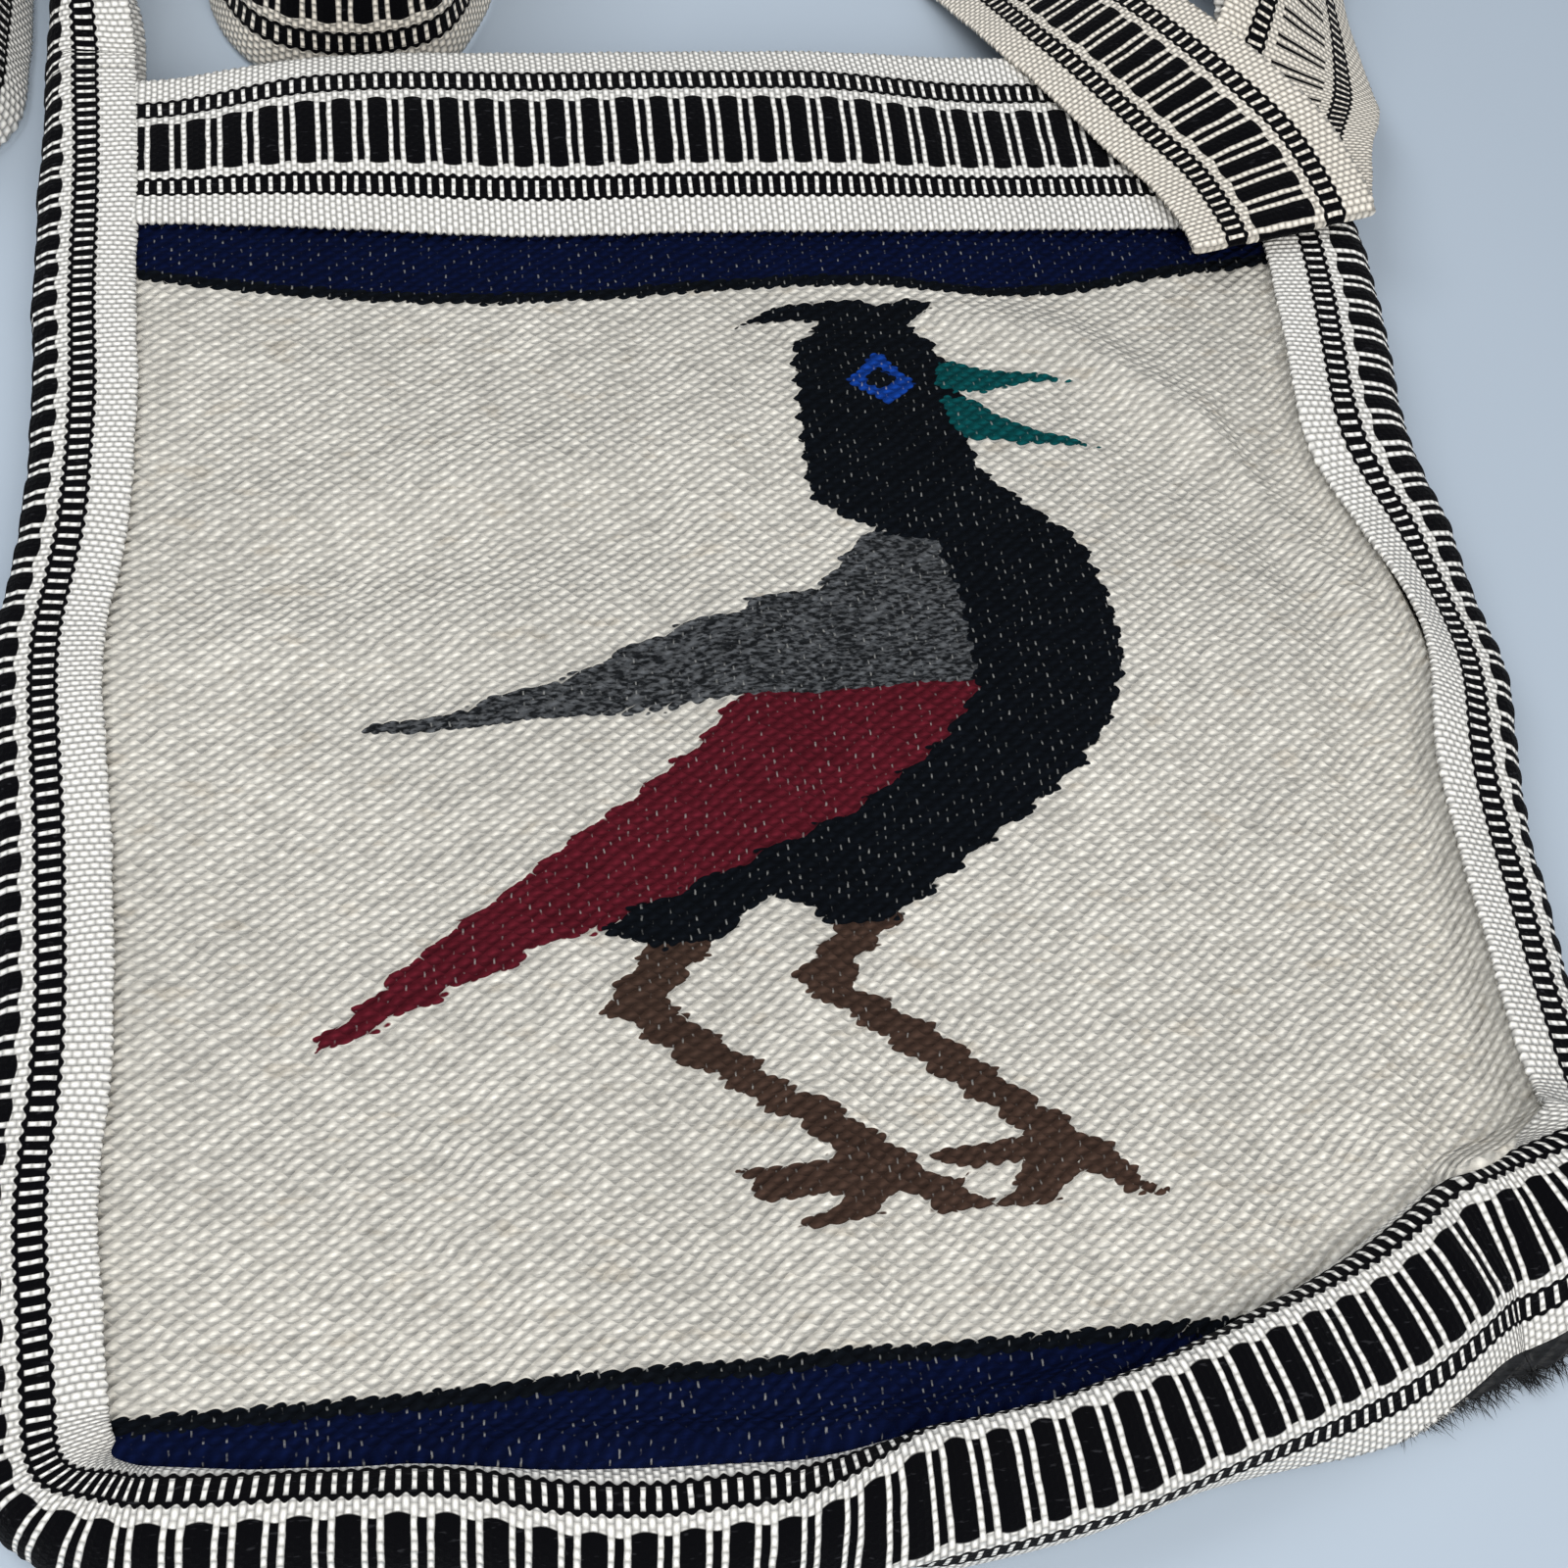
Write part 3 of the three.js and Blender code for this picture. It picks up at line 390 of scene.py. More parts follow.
# Woven figures, as outlines in plan, with the yarn each is woven in.
# An outline runs on under the ones that follow it.
STRIPE_HALF = 150.0
STRIPE_EDGE = [(-STRIPE_HALF, 116.5), (-122, 111.5), (-100, 108.5), (-78, 106), (-56, 104.5), (-33, 105.5),
               (-10, 107.5), (13, 109.5), (37, 109.5), (51, 106.5), (62, 104.5), (84, 106.5), (110, 112),
               (STRIPE_HALF, 117.5)]
FOOT_EDGE = -143.0
LINE_WIDTH = 3.2
FIGURES = {
    "navy": [
        [(x, y + LINE_WIDTH / 2) for x, y in STRIPE_EDGE] + [(STRIPE_HALF, 200), (-STRIPE_HALF, 200)],
        [(-STRIPE_HALF, FOOT_EDGE - LINE_WIDTH / 2), (STRIPE_HALF, FOOT_EDGE - LINE_WIDTH / 2),
         (STRIPE_HALF, -200), (-STRIPE_HALF, -200)],
    ],
    "seam_line": [
        STRIPE_EDGE + [(x, y + LINE_WIDTH) for x, y in reversed(STRIPE_EDGE)],
        [(-STRIPE_HALF, FOOT_EDGE), (STRIPE_HALF, FOOT_EDGE), (STRIPE_HALF, FOOT_EDGE - LINE_WIDTH),
         (-STRIPE_HALF, FOOT_EDGE - LINE_WIDTH)],
    ],
    "burgundy": [
        [(-12, -6), (-20, -15), (-26, -20), (-32, -24.5), (-36, -28.5), (-45, -33.5), (-51, -38.5),
         (-57, -43), (-63, -48), (-69, -51), (-75, -56), (-85, -63), (-90, -68), (-97, -73), (-102, -78),
         (-99, -78), (-91, -74), (-80, -70), (-74, -67), (-70, -66.5), (-66, -64), (-62, -63), (-53, -58),
         (-47, -57), (-41, -56.5), (16, -35), (44, -13), (45, 2), (19, 2), (-9, -2)],
    ],
    "grey": [
        [(24, 37.5), (20, 34.5), (12, 25), (10, 23), (2, 22), (-6, 19), (-8, 16), (-15, 15.5), (-20, 13.5),
         (-29, 10.5), (-33, 8.5), (-42, 3), (-47, 1), (-52, 0), (-59, -2.5), (-65, -4), (-75, -6),
         (-87, -6.5), (-88, -8), (-79, -9.5), (-59, -8.5), (-43, -7.5), (-22, -6.5), (5, -5), (18, -3.5),
         (29, -2.5), (44, -3), (49, 16), (44, 36)],
    ],
    "brown": [
        [(-22, -55), (-23, -62), (-26, -64), (-28, -67), (-31, -69), (-33, -74), (-29, -76), (-21, -83),
         (-18, -85), (-11, -92), (-6, -94), (1, -100), (2, -102), (6, -103), (11, -108), (13, -110),
         (19, -113.5), (24.5, -117.5), (19, -118), (14.5, -118.5), (7.5, -114), (3, -117), (-4, -120),
         (-11, -121), (-13, -120.5), (-7, -117), (-4, -114.5), (-5, -113.5), (-18, -114), (-22.5, -107.5),
         (-14, -108.5), (-2, -108), (-7.5, -103.5), (-9, -100.5), (-18, -94), (-23, -89.5), (-31, -85.5),
         (-35, -82), (-39, -78), (-45, -74.5), (-43, -73), (-45, -71.5), (-39, -66), (-36.5, -63),
         (-37, -55)],
        [(17, -51), (15.5, -58.5), (11, -61), (9, -64), (5.5, -66), (4, -72), (11, -75.5), (20, -82),
         (24, -85.5), (32, -93), (36, -97), (41, -100.5), (44, -104), (52, -110), (52, -112), (60, -118),
         (51, -117), (46, -113), (43, -111.5), (40, -115.5), (37, -117.5), (27, -118), (25.5, -117.5),
         (33, -112), (31.5, -110.5), (21, -111), (14.5, -108), (18, -106.5), (25.5, -106), (33.5, -104),
         (27, -98), (17, -90), (8.5, -82.5), (4, -78.5), (-1, -76), (-8, -70.5), (-6, -68.5), (-3, -65),
         (0, -61.5), (2, -58.5), (3.5, -51)],
    ],
    "black": [
        [(21, 97), (14.5, 93), (12.5, 88.5), (12, 78), (11, 61), (11, 49), (14, 44), (20, 41), (24, 37.5),
         (38, 35), (39.5, 25), (41, 20), (41, 5), (40, -6), (30, -18), (25, -22), (10, -32.5), (-8, -41),
         (-28, -49), (-38.5, -53), (-44.5, -56.5), (-34.5, -62), (-22.5, -60.5), (-19.5, -59), (-14, -54),
         (-10, -50.5), (-1, -56.5), (2.5, -58), (16, -56.5), (21, -53), (36, -41.5), (45, -36), (60, -24),
         (67, -15), (71.5, -6), (74, 1), (74.5, 10), (74, 18), (71.5, 31), (68, 36.5), (60, 44),
         (50.5, 53.5), (49.5, 66), (50, 75.5), (49, 83.5), (46.5, 89), (46, 92), (40, 97)],
    ],
    "crest": [
        [(-0.5, 96.5), (4, 99.5), (10, 103), (15, 104), (30.5, 105), (34, 103), (42, 104.5), (49.5, 102),
         (44, 99), (40, 96), (34.5, 93), (20.5, 93.5), (19.5, 98.5), (10, 98.5), (3.5, 97.5)],
    ],
    "teal": [
        [(46, 85), (50.5, 85.5), (56, 83), (70, 82), (79.5, 79.5), (69, 79.5), (62, 78), (56, 76), (51, 76),
         (44.5, 77.5)],
        [(45, 74.5), (54, 73.5), (56, 70), (61, 67), (67, 64.5), (74, 63), (82.5, 60), (71, 60.5),
         (61, 60.5), (56.5, 61.5), (49.5, 61.5), (46, 66.5)],
    ],
    "blue": [
        [(33, 89), (37, 82), (40.5, 79), (37.5, 76.5), (32.5, 72), (29.5, 75), (23.5, 79), (26, 81.5),
         (29, 85.5)],
    ],
    "eye": [
        [(31.5, 84), (36, 80.5), (34.5, 78.5), (32, 77), (27.5, 79.5), (29.5, 82)],
    ],
}


def inside_depth(points, outlines):
    """How far each point lies inside any of the outlines; negative outside."""
    deepest = np.full(len(points), -1e9)
    for outline in outlines:
        corners = np.array(outline, dtype=float)
        inside = np.zeros(len(points), dtype=bool)
        nearest = np.full(len(points), 1e9)
        for start, end in zip(corners, np.roll(corners, -1, axis=0)):
            edge = end - start
            share = np.clip((points - start) @ edge / (edge @ edge), 0, 1)
            nearest = np.minimum(nearest, np.linalg.norm(points - start - share[:, None] * edge, axis=1))
            crosses = (start[1] > points[:, 1]) != (end[1] > points[:, 1])
            if start[1] != end[1]:
                at_x = start[0] + (points[:, 1] - start[1]) * edge[0] / edge[1]
                inside ^= crosses & (points[:, 0] < at_x)
        deepest = np.maximum(deepest, np.where(inside, nearest, -nearest))
    return deepest


# Materials

class Recipe:
    """A material's node tree, written as formulas."""

    def __init__(self, name):
        self.material = bpy.data.materials.new(name)
        self.material.use_nodes = True
        self.nodes = self.material.node_tree.nodes
        self.links = self.material.node_tree.links
        self.shader = self.nodes["Principled BSDF"]

    def feed(self, socket, value):
        if isinstance(value, bpy.types.NodeSocket):
            self.links.new(value, socket)
        else:
            socket.default_value = value

    def node(self, kind, **inputs):
        """A new node with its inputs fed; a space in an input's name is written _ here."""
        node = self.nodes.new("ShaderNode" + kind)
        for name, value in inputs.items():
            self.feed(node.inputs[name.replace("_", " ")], value)
        return node

    def weave(self):
        """The weave's own coordinates, along and across the yarns."""
        node = self.node("UVMap")
        node.uv_map = "weave"
        split = self.node("SeparateXYZ", Vector=node.outputs["UV"])
        return split.outputs["X"], split.outputs["Y"]

    def place(self):
        return self.node("TexCoord").outputs["Object"]

    def depth(self, name):
        """How deep inside a woven figure a point lies."""
        node = self.node("Attribute")
        node.attribute_name = name
        return node.outputs["Fac"]

    def calc(self, operation, first, second=0.0, third=0.0):
        node = self.node("Math")
        node.operation = operation
        for socket, value in zip(node.inputs, (first, second, third)):
            self.feed(socket, value)
        return node.outputs[0]

    def add(self, first, second):
        return self.calc("ADD", first, second)

    def less(self, first, second):
        return self.calc("SUBTRACT", first, second)

    def most(self, first, second):
        return self.calc("MAXIMUM", first, second)

    def times(self, first, *others):
        for other in others:
            first = self.calc("MULTIPLY", first, other)
        return first

    def arch(self, value):
        """1 at whole numbers and 0 half way between."""
        return self.calc("ABSOLUTE", self.calc("COSINE", self.times(value, math.pi)))

    def hump(self, value):
        """0 at whole numbers and 1 half way between."""
        return self.calc("SINE", self.times(self.calc("FRACT", value), math.pi))

    def wave(self, value, length):
        """1 on crests and -1 in troughs."""
        return self.calc("COSINE", self.times(value, 2 * math.pi / length))

    def over(self, value, limit, soft):
        """0 below the limit and 1 above it, over a short run."""
        node = self.node("MapRange", Value=self.less(value, limit), From_Min=-soft, From_Max=soft)
        node.interpolation_type = "SMOOTHSTEP"
        return node.outputs[0]

    def between(self, value, low, high, soft):
        return self.times(self.over(value, low, soft), self.less(1.0, self.over(value, high, soft)))

    def spread(self, value, low, high):
        """A 0 to 1 value between two others."""
        return self.node("MapRange", Value=value, To_Min=low, To_Max=high).outputs[0]

    def noise(self, vector, scale, detail=3.0, stretch=(1, 1, 1), turn=0.0):
        mapping = self.node("Mapping", Vector=vector, Scale=stretch, Rotation=(0, 0, turn))
        return self.node("TexNoise", Vector=mapping.outputs[0], Scale=scale, Detail=detail).outputs["Fac"]

    def chance(self, first, second):
        """A random 0 to 1 value for each pair of whole numbers."""
        pair = self.node("CombineXYZ", X=first, Y=second)
        node = self.node("TexWhiteNoise", Vector=pair.outputs[0])
        node.noise_dimensions = "2D"
        return node.outputs["Value"]

    def mix(self, share, first, second, blend="MIX"):
        node = self.node("Mix")
        node.data_type = "RGBA"
        node.blend_type = blend
        self.feed(node.inputs["Factor"], share)
        for socket, value in zip((node.inputs[6], node.inputs[7]), (first, second)):
            self.feed(socket, (*value, 1) if isinstance(value, tuple) else value)
        return node.outputs[2]

    def shade(self, colour, amount):
        """The colour made lighter or darker by a factor."""
        grey = self.node("CombineXYZ", X=amount, Y=amount, Z=amount)
        return self.mix(1.0, colour, grey.outputs[0], "MULTIPLY")

    def height(self, value, distance):
        node = self.node("Bump", Strength=1.0, Distance=distance * MM, Height=value)
        self.links.new(node.outputs["Normal"], self.shader.inputs["Normal"])

    def finish(self, colour, roughness, sheen):
        self.feed(self.shader.inputs["Base Color"], colour)
        finishes = {"Roughness": roughness, "Specular IOR Level": 0.05,
                    "Sheen Weight": sheen, "Sheen Roughness": 0.55}
        for name, value in finishes.items():
            self.shader.inputs[name].default_value = value
        return self.material


def wool_flecks(recipe, x, y):
    """Plump weft flecks laid like bricks, joined into ropes that climb to the right, and thin warp dashes."""
    across = recipe.times(x, 1 / WEFT_FLECK)
    rise = recipe.times(y, 0.5 / WEFT_ROW)
    climb = recipe.add(rise, across)
    rope = recipe.less(rise, across)
    notch = recipe.arch(climb)
    ridge = recipe.arch(rope)
    relief = recipe.times(recipe.add(0.42, recipe.times(notch, 0.58)), recipe.calc("POWER", ridge, 1.2))
    chance = recipe.chance(recipe.calc("ROUND", climb), recipe.calc("ROUND", rope))
    dashes = []
    for shift in (0.0, 0.5):
        beside = recipe.arch(recipe.add(across, shift))
        above = recipe.arch(recipe.add(rise, shift))
        low = recipe.less(1.0, recipe.over(above, 0.6, 0.1))
        dashes.append(recipe.times(recipe.over(beside, 0.99, 0.006), low))
    warp = recipe.most(*dashes)
    return relief, chance, warp


def front_wool():
    """Cream wool with the stripes and the bird woven in."""
    recipe = Recipe("front_wool")
    x, y = recipe.weave()
    place = recipe.place()
    x = recipe.add(x, recipe.spread(recipe.noise(place, 90.0, 4.0), -1.6, 1.6))
    y = recipe.add(y, recipe.spread(recipe.noise(place, 80.0, 4.0, (1, 1, 1), 1.0), -1.5, 1.5))
    relief, chance, warp = wool_flecks(recipe, x, y)
    heather = recipe.noise(place, 430.0, 3.0, (0.4, 1.4, 1), TWILL_LEAN)
    cloud = recipe.noise(place, 22.0, 3.0)
    # Fibre streaks along the twill's lean: in the colour they are painted glints on the yarn's twist, and they
    # also make a fine bump.
    fibre_glint = recipe.noise(place, 1700.0, 3.0, (0.25, 1.3, 1), TWILL_LEAN)
    bumps = recipe.add(recipe.spread(relief, -0.4, 0.4), recipe.spread(chance, -0.25, 0.25))
    step = recipe.calc("PINGPONG", recipe.times(y, 1 / (2 * WEFT_ROW)), 1.0)
    tooth = recipe.add(bumps, recipe.spread(step, -0.75, 1.0))
    colour = CREAM_WOOL
    dark = 0.0
    yarns = {"navy": NAVY_WOOL, "seam_line": BLACK_WOOL, "burgundy": BURGUNDY_WOOL, "grey": GREY_WOOL,
             "brown": BROWN_WOOL, "black": BLACK_WOOL, "crest": BLACK_WOOL, "teal": TEAL_WOOL,
             "blue": BLUE_WOOL, "eye": BLACK_WOOL}
    straight = ("navy", "seam_line", "crest", "teal", "blue", "eye")
    for name, yarn in yarns.items():
        edge = bumps if name in straight else tooth
        here = recipe.over(recipe.add(recipe.depth(name), edge), 0.0, 0.12)
        if name == "grey":
            tuft = recipe.noise(place, 1150.0, 3.0, (0.5, 1.2, 1), TWILL_LEAN)
            tuft = recipe.add(tuft, recipe.spread(chance, -0.04, 0.04))
            yarn = recipe.mix(recipe.over(tuft, 0.5, 0.1), GREY_DARK, GREY_WOOL)
        colour = recipe.mix(here, colour, yarn)
        dark = recipe.most(dark, here)
    pale = recipe.less(1.0, dark)
    # Painted shade and highlight: the flecks' relief darkens the gaps between them and the fibre streaks add
    # glints; chance, cloud and heather are the yarn's own uneven tone.
    light = recipe.times(recipe.spread(relief, 0.7, 1.2), recipe.spread(chance, 0.91, 1.09),
                         recipe.spread(cloud, 0.86, 1.14), recipe.spread(heather, 0.72, 1.28),
                         recipe.spread(fibre_glint, 0.78, 1.22))
    colour = recipe.shade(colour, light)
    warm = recipe.over(recipe.noise(place, 190.0, 2.0, (0.5, 1.2, 1)), 0.66, 0.06)
    colour = recipe.mix(recipe.times(warm, pale, 0.22), colour, WARM_WOOL)
    shown = recipe.times(warp, dark, recipe.over(recipe.noise(place, 420.0, 2.0), 0.58, 0.08), 0.48)
    colour = recipe.mix(shown, colour, WARP_YARN)
    recipe.height(recipe.add(relief, recipe.times(fibre_glint, 0.25)), 1.0)
    return recipe.finish(colour, 0.97, 0.0)


def back_wool():
    """Fuzzy charcoal wool."""
    recipe = Recipe("back_wool")
    x, y = recipe.weave()
    place = recipe.place()
    relief, chance, _ = wool_flecks(recipe, x, y)
    fuzz = recipe.noise(place, 700.0, 4.0, (0.4, 1.3, 1), 0.5)
    light = recipe.times(recipe.spread(fuzz, 0.1, 2.1), recipe.spread(chance, 0.9, 1.1))
    colour = recipe.shade(CHARCOAL_WOOL, light)
    recipe.height(recipe.add(recipe.times(relief, 0.6), fuzz), 1.0)
    return recipe.finish(colour, 0.97, 0.06)


def band_weave(name, reverse):
    """The band's pattern: blocks along the middle, a cream line, a ladder and a selvedge on each side."""
    recipe = Recipe(name)
    along, across = recipe.weave()
    place = recipe.place()
    from_middle = recipe.calc("ABSOLUTE", recipe.less(across, BAND_WIDTH / 2))
    drift = recipe.spread(recipe.noise(place, 160.0, 2.0), -0.35, 0.35)
    turns = recipe.times(recipe.add(along, drift), 1 / PATTERN_REPEAT)
    phase = recipe.calc("FRACT", recipe.less(turns, BLOCK_SHIFT))
    round_end = recipe.calc("SINE", recipe.times(phase, math.pi / WIDE_BAR))
    block_end = recipe.add(BLOCK_HALF - 0.2, recipe.times(round_end, 0.4))
    in_blocks = recipe.less(1.0, recipe.over(from_middle, block_end, 0.15))
    bars = recipe.most(recipe.between(phase, 0.015, WIDE_BAR, 0.012),
                       recipe.between(phase, 0.68, 0.87, 0.012))
    if reverse:
        bars = recipe.most(recipe.between(phase, 0.56, 0.675, 0.012),
                           recipe.between(phase, 0.875, 0.985, 0.012))
    rung = recipe.wave(recipe.add(along, drift), PATTERN_REPEAT / 3)
    swell = recipe.times(rung, 0.32)
    ladder = recipe.between(from_middle, recipe.less(LINE_EDGE, swell),
                            recipe.add(LADDER_EDGE - 0.3, swell), 0.12)
    rungs = recipe.times(recipe.over(rung, 0.5, 0.12),
                         recipe.between(from_middle, LINE_EDGE + 0.9, LADDER_EDGE - 1.1, 0.15))
    ladder = recipe.times(ladder, recipe.less(1.0, rungs))
    black = recipe.most(recipe.times(bars, in_blocks), ladder)
    rows = recipe.add(recipe.times(turns, PICKS_PER_REPEAT), 0.5)
    shift = recipe.times(recipe.calc("FLOOR", rows), 0.5)
    pick = recipe.hump(rows)
    strand = recipe.hump(recipe.add(recipe.times(across, 1 / STRAND), shift))
    bead = recipe.times(recipe.add(0.3, recipe.times(pick, 0.7)), recipe.add(0.35, recipe.times(strand, 0.65)))
    bead = recipe.calc("POWER", bead, 0.8)
    grain = recipe.noise(place, 1500.0, 3.0)
    cloud = recipe.noise(place, 40.0, 2.0)
    # Painted highlight and shade: the beads' tops are lighter and the gaps between them darker; grain and cloud
    # are the yarn's own uneven tone.
    light = recipe.times(recipe.spread(bead, 0.12, 1.2), recipe.spread(grain, 0.8, 1.2),
                         recipe.spread(cloud, 0.9, 1.08))
    worn = recipe.between(along, BAND_LENGTH + 60, BAND_LENGTH + 700, 40)
    cream = recipe.shade(recipe.mix(worn, BAND_CREAM, STRAP_CREAM), light)
    fibres = recipe.times(recipe.over(recipe.noise(place, 1100.0, 2.0, (0.25, 1, 1)), 0.69, 0.05), 0.06)
    dark = recipe.mix(fibres, BAND_BLACK, PALE_FIBRE)
    colour = recipe.mix(black, cream, dark)
    flat = recipe.times(recipe.less(1.0, recipe.times(black, 0.7)), bead)
    recipe.height(recipe.add(flat, recipe.times(black, recipe.spread(grain, 0.1, 0.5))), 0.8)
    return recipe.finish(colour, 0.9, 0.02)


def floor_paint():
    recipe = Recipe("pale_floor")
    cloud = recipe.noise(recipe.place(), 6.0, 2.0)
    colour = recipe.shade(FLOOR_COLOUR, recipe.spread(cloud, 0.97, 1.03))
    return recipe.finish(colour, 0.55, 0.0)


# Pieces

def sewn_edge(alongs, across, held):
    """A panel's edge under the band, from two places across it: its points, the way out and how level it is."""
    section = band_rows(alongs, np.array(across))
    lean = unit(section[:, 1] - section[:, 0])
    _, outward = seam_frame(alongs)
    level = np.sum(lean[:, :2] * outward, axis=1)
    up = np.concatenate([-outward * lean[:, 2:], level[:, None]], axis=1)
    return section[:, held] - up * SEAM_OFFSET, outward, level


def front_edge(alongs):
    points, _, level = sewn_edge(alongs, (UNDER_BAND, UNDER_BAND + BEND_STEP), 0)
    points[:, 2] -= (1 - level) * SEAM_OFFSET
    return points


def back_edge(alongs):
    """The back's edge, which hangs out of the band below the rolled corner."""
    points, outward, _ = sewn_edge(alongs, (BAND_WIDTH - UNDER_BAND - BEND_STEP, BAND_WIDTH - UNDER_BAND), 1)
    loose = LOOSE_EDGE * bump_at(points[:, 0], LOOSE_MIDDLE, LOOSE_REACH) * smooth(0.4, 0.8, -outward[:, 1])
    loose = loose * (1 + 0.1 * ripple(alongs, 9, 0.3) + 0.07 * ripple(alongs, 3.7, 1.0))
    points[:, :2] += outward * loose[:, None]
    points[:, 2] = np.clip(points[:, 2] - loose, WOOL_THICKNESS / 2, BACK_EDGE_HEIGHT)
    return points


def sewn_sheet(edge, columns, rows):
    """A sheet stretched between its two sides and its foot, with a straight mouth."""
    s = np.linspace(0, 1, columns)
    t = np.linspace(0, 1, rows)
    left = edge(LEFT_END * (1 - t))
    right = edge(RIGHT_START + (SEAM_LENGTH - RIGHT_START) * t)
    bottom = edge(LEFT_END + (RIGHT_START - LEFT_END) * s)
    top = left[-1] + (right[-1] - left[-1]) * s[:, None]
    s_grid, t_grid = np.meshgrid(s, t)
    s3, t3 = s_grid[..., None], t_grid[..., None]
    low = bottom[0] + (bottom[-1] - bottom[0]) * s3
    high = top[0] + (top[-1] - top[0]) * s3
    points = left[:, None] * (1 - s3) + right[:, None] * s3 + bottom[None] * (1 - t3) + top[None] * t3
    return points - low * (1 - t3) - high * t3, bottom, s_grid, t_grid


def front_panel(material):
    """The cream front, slack between its edges, with each woven figure's depth as an attribute."""
    columns = 1 + int(2 * PANEL_HALF_WIDTH / PANEL_STEP)
    rows = 1 + int((MOUTH_Y - BOTTOM_Y) / PANEL_STEP)
    points, bottom, s_grid, t_grid = sewn_sheet(front_edge, columns, rows)
    x, y = points[..., 0], points[..., 1]
    y -= smooth(MOUTH_Y - BAND_WIDTH, MOUTH_Y, y) * (MOUTH_Y + 2 - mouth_edge(x))
    inward = np.minimum(s_grid, 1 - s_grid)
    clear = MOUTH_Y - BAND_WIDTH - SLOPE_RUN
    mask = smooth(0, 0.3, inward) * smooth(0, 0.35, t_grid) * smooth(0, 70, clear - y)
    soft = smooth(0, 0.12, inward) * smooth(0, 0.1, t_grid) * smooth(-6, 26, clear - y)
    points[..., 2] += BELLY_HEIGHT * mask + soft * panel_waves(x, y) + mouth_rise(x, y)
    from_right = (1 - s_grid) * 2 * PANEL_HALF_WIDTH
    dip = np.tan(np.radians(np.maximum(0, -along_table(y, RIGHT_DIP))))
    points[..., 2] += smooth(-75, -45, y) * dip * from_right * bump_at(from_right, 0, 12)
    ceiling = bottom[None, :, 2] + CEILING_SLACK + CEILING_CLIMB * t_grid * (MOUTH_Y - BOTTOM_Y)
    ceiling = ceiling + CEILING_OFF * (1 - smooth(10, 50, x))
    ceiling = ceiling + CEILING_OFF * (1 - smooth(0, 24, from_right))
    points[..., 2] -= CEILING_SLACK * np.logaddexp(0, (points[..., 2] - ceiling) / CEILING_SLACK)
    points[..., 2] = LEAST_HEIGHT + 2 * np.logaddexp(0, (points[..., 2] - LEAST_HEIGHT) / 2)
    plan = points[..., :2].reshape(-1, 2)
    weave = np.stack([x + climbed(points), cloth_lengths(points)], -1)
    normals = grid_normals(points)
    depths = {name: inside_depth(plan, outlines) for name, outlines in FIGURES.items()}
    figure = np.max([smooth(-0.6, 0.8, depths[name]) for name in depths], axis=0).reshape(rows, columns)
    half = WOOL_THICKNESS / 2
    front = points + normals * (half + FIGURE_RELIEF * figure)[..., None]
    back = points - normals * half
    piece = cloth_mesh("front_wool_panel", front, back, weave, [material])
    for name, depth in depths.items():
        attribute = piece.data.attributes.new(name, "FLOAT", "POINT")
        attribute.data.foreach_set("value", np.concatenate([depth, depth]).astype(np.float32))
    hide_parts("front_panel")


def climbed(points):
    """How much longer the cloth is than its plan along each row, counted outwards from the middle."""
    step = np.diff(points, axis=1)
    extra = np.linalg.norm(step, axis=-1) - np.linalg.norm(step[..., :2], axis=-1)
    total = summed(extra, axis=1)
    return total - total[:, [points.shape[1] // 2]]


def cloth_lengths(points):
    """The cloth's own length up each column, counted from its middle row."""
    middle = points.shape[0] // 2
    total = summed(step_lengths(points))
    return total - total[middle] + points[middle, :, 1]


def panel_waves(x, y):
    """Slack in the wool: a crease from the beak to the right side, and soft swells on the left."""
    crease_y = np.interp(x, [40, 80, 110, 132], [104, 90, 62, 14])
    crease = 2.2 * bump_at(y, crease_y, 9) * smooth(30, 62, x)
    crease = crease - 1.1 * bump_at(y, crease_y - 20, 13) * smooth(40, 80, x)
    swells = 0.9 * bump_at(y, 62 + 0.12 * x, 9) + 0.8 * bump_at(y, 20 + 0.06 * x, 10)
    swells = (swells - 0.6 * bump_at(y, 41 + 0.1 * x, 10)) * (1 - smooth(-60, 0, x))
    low = 1.2 * bump_at(y, -112, 16) * ripple(x, 110, 0.3)
    return 1.4 * crease + 1.5 * swells + low + 0.5 * ripple(x + 0.4 * y, 74, 1.2) * ripple(y - 0.3 * x, 96, 0.4)


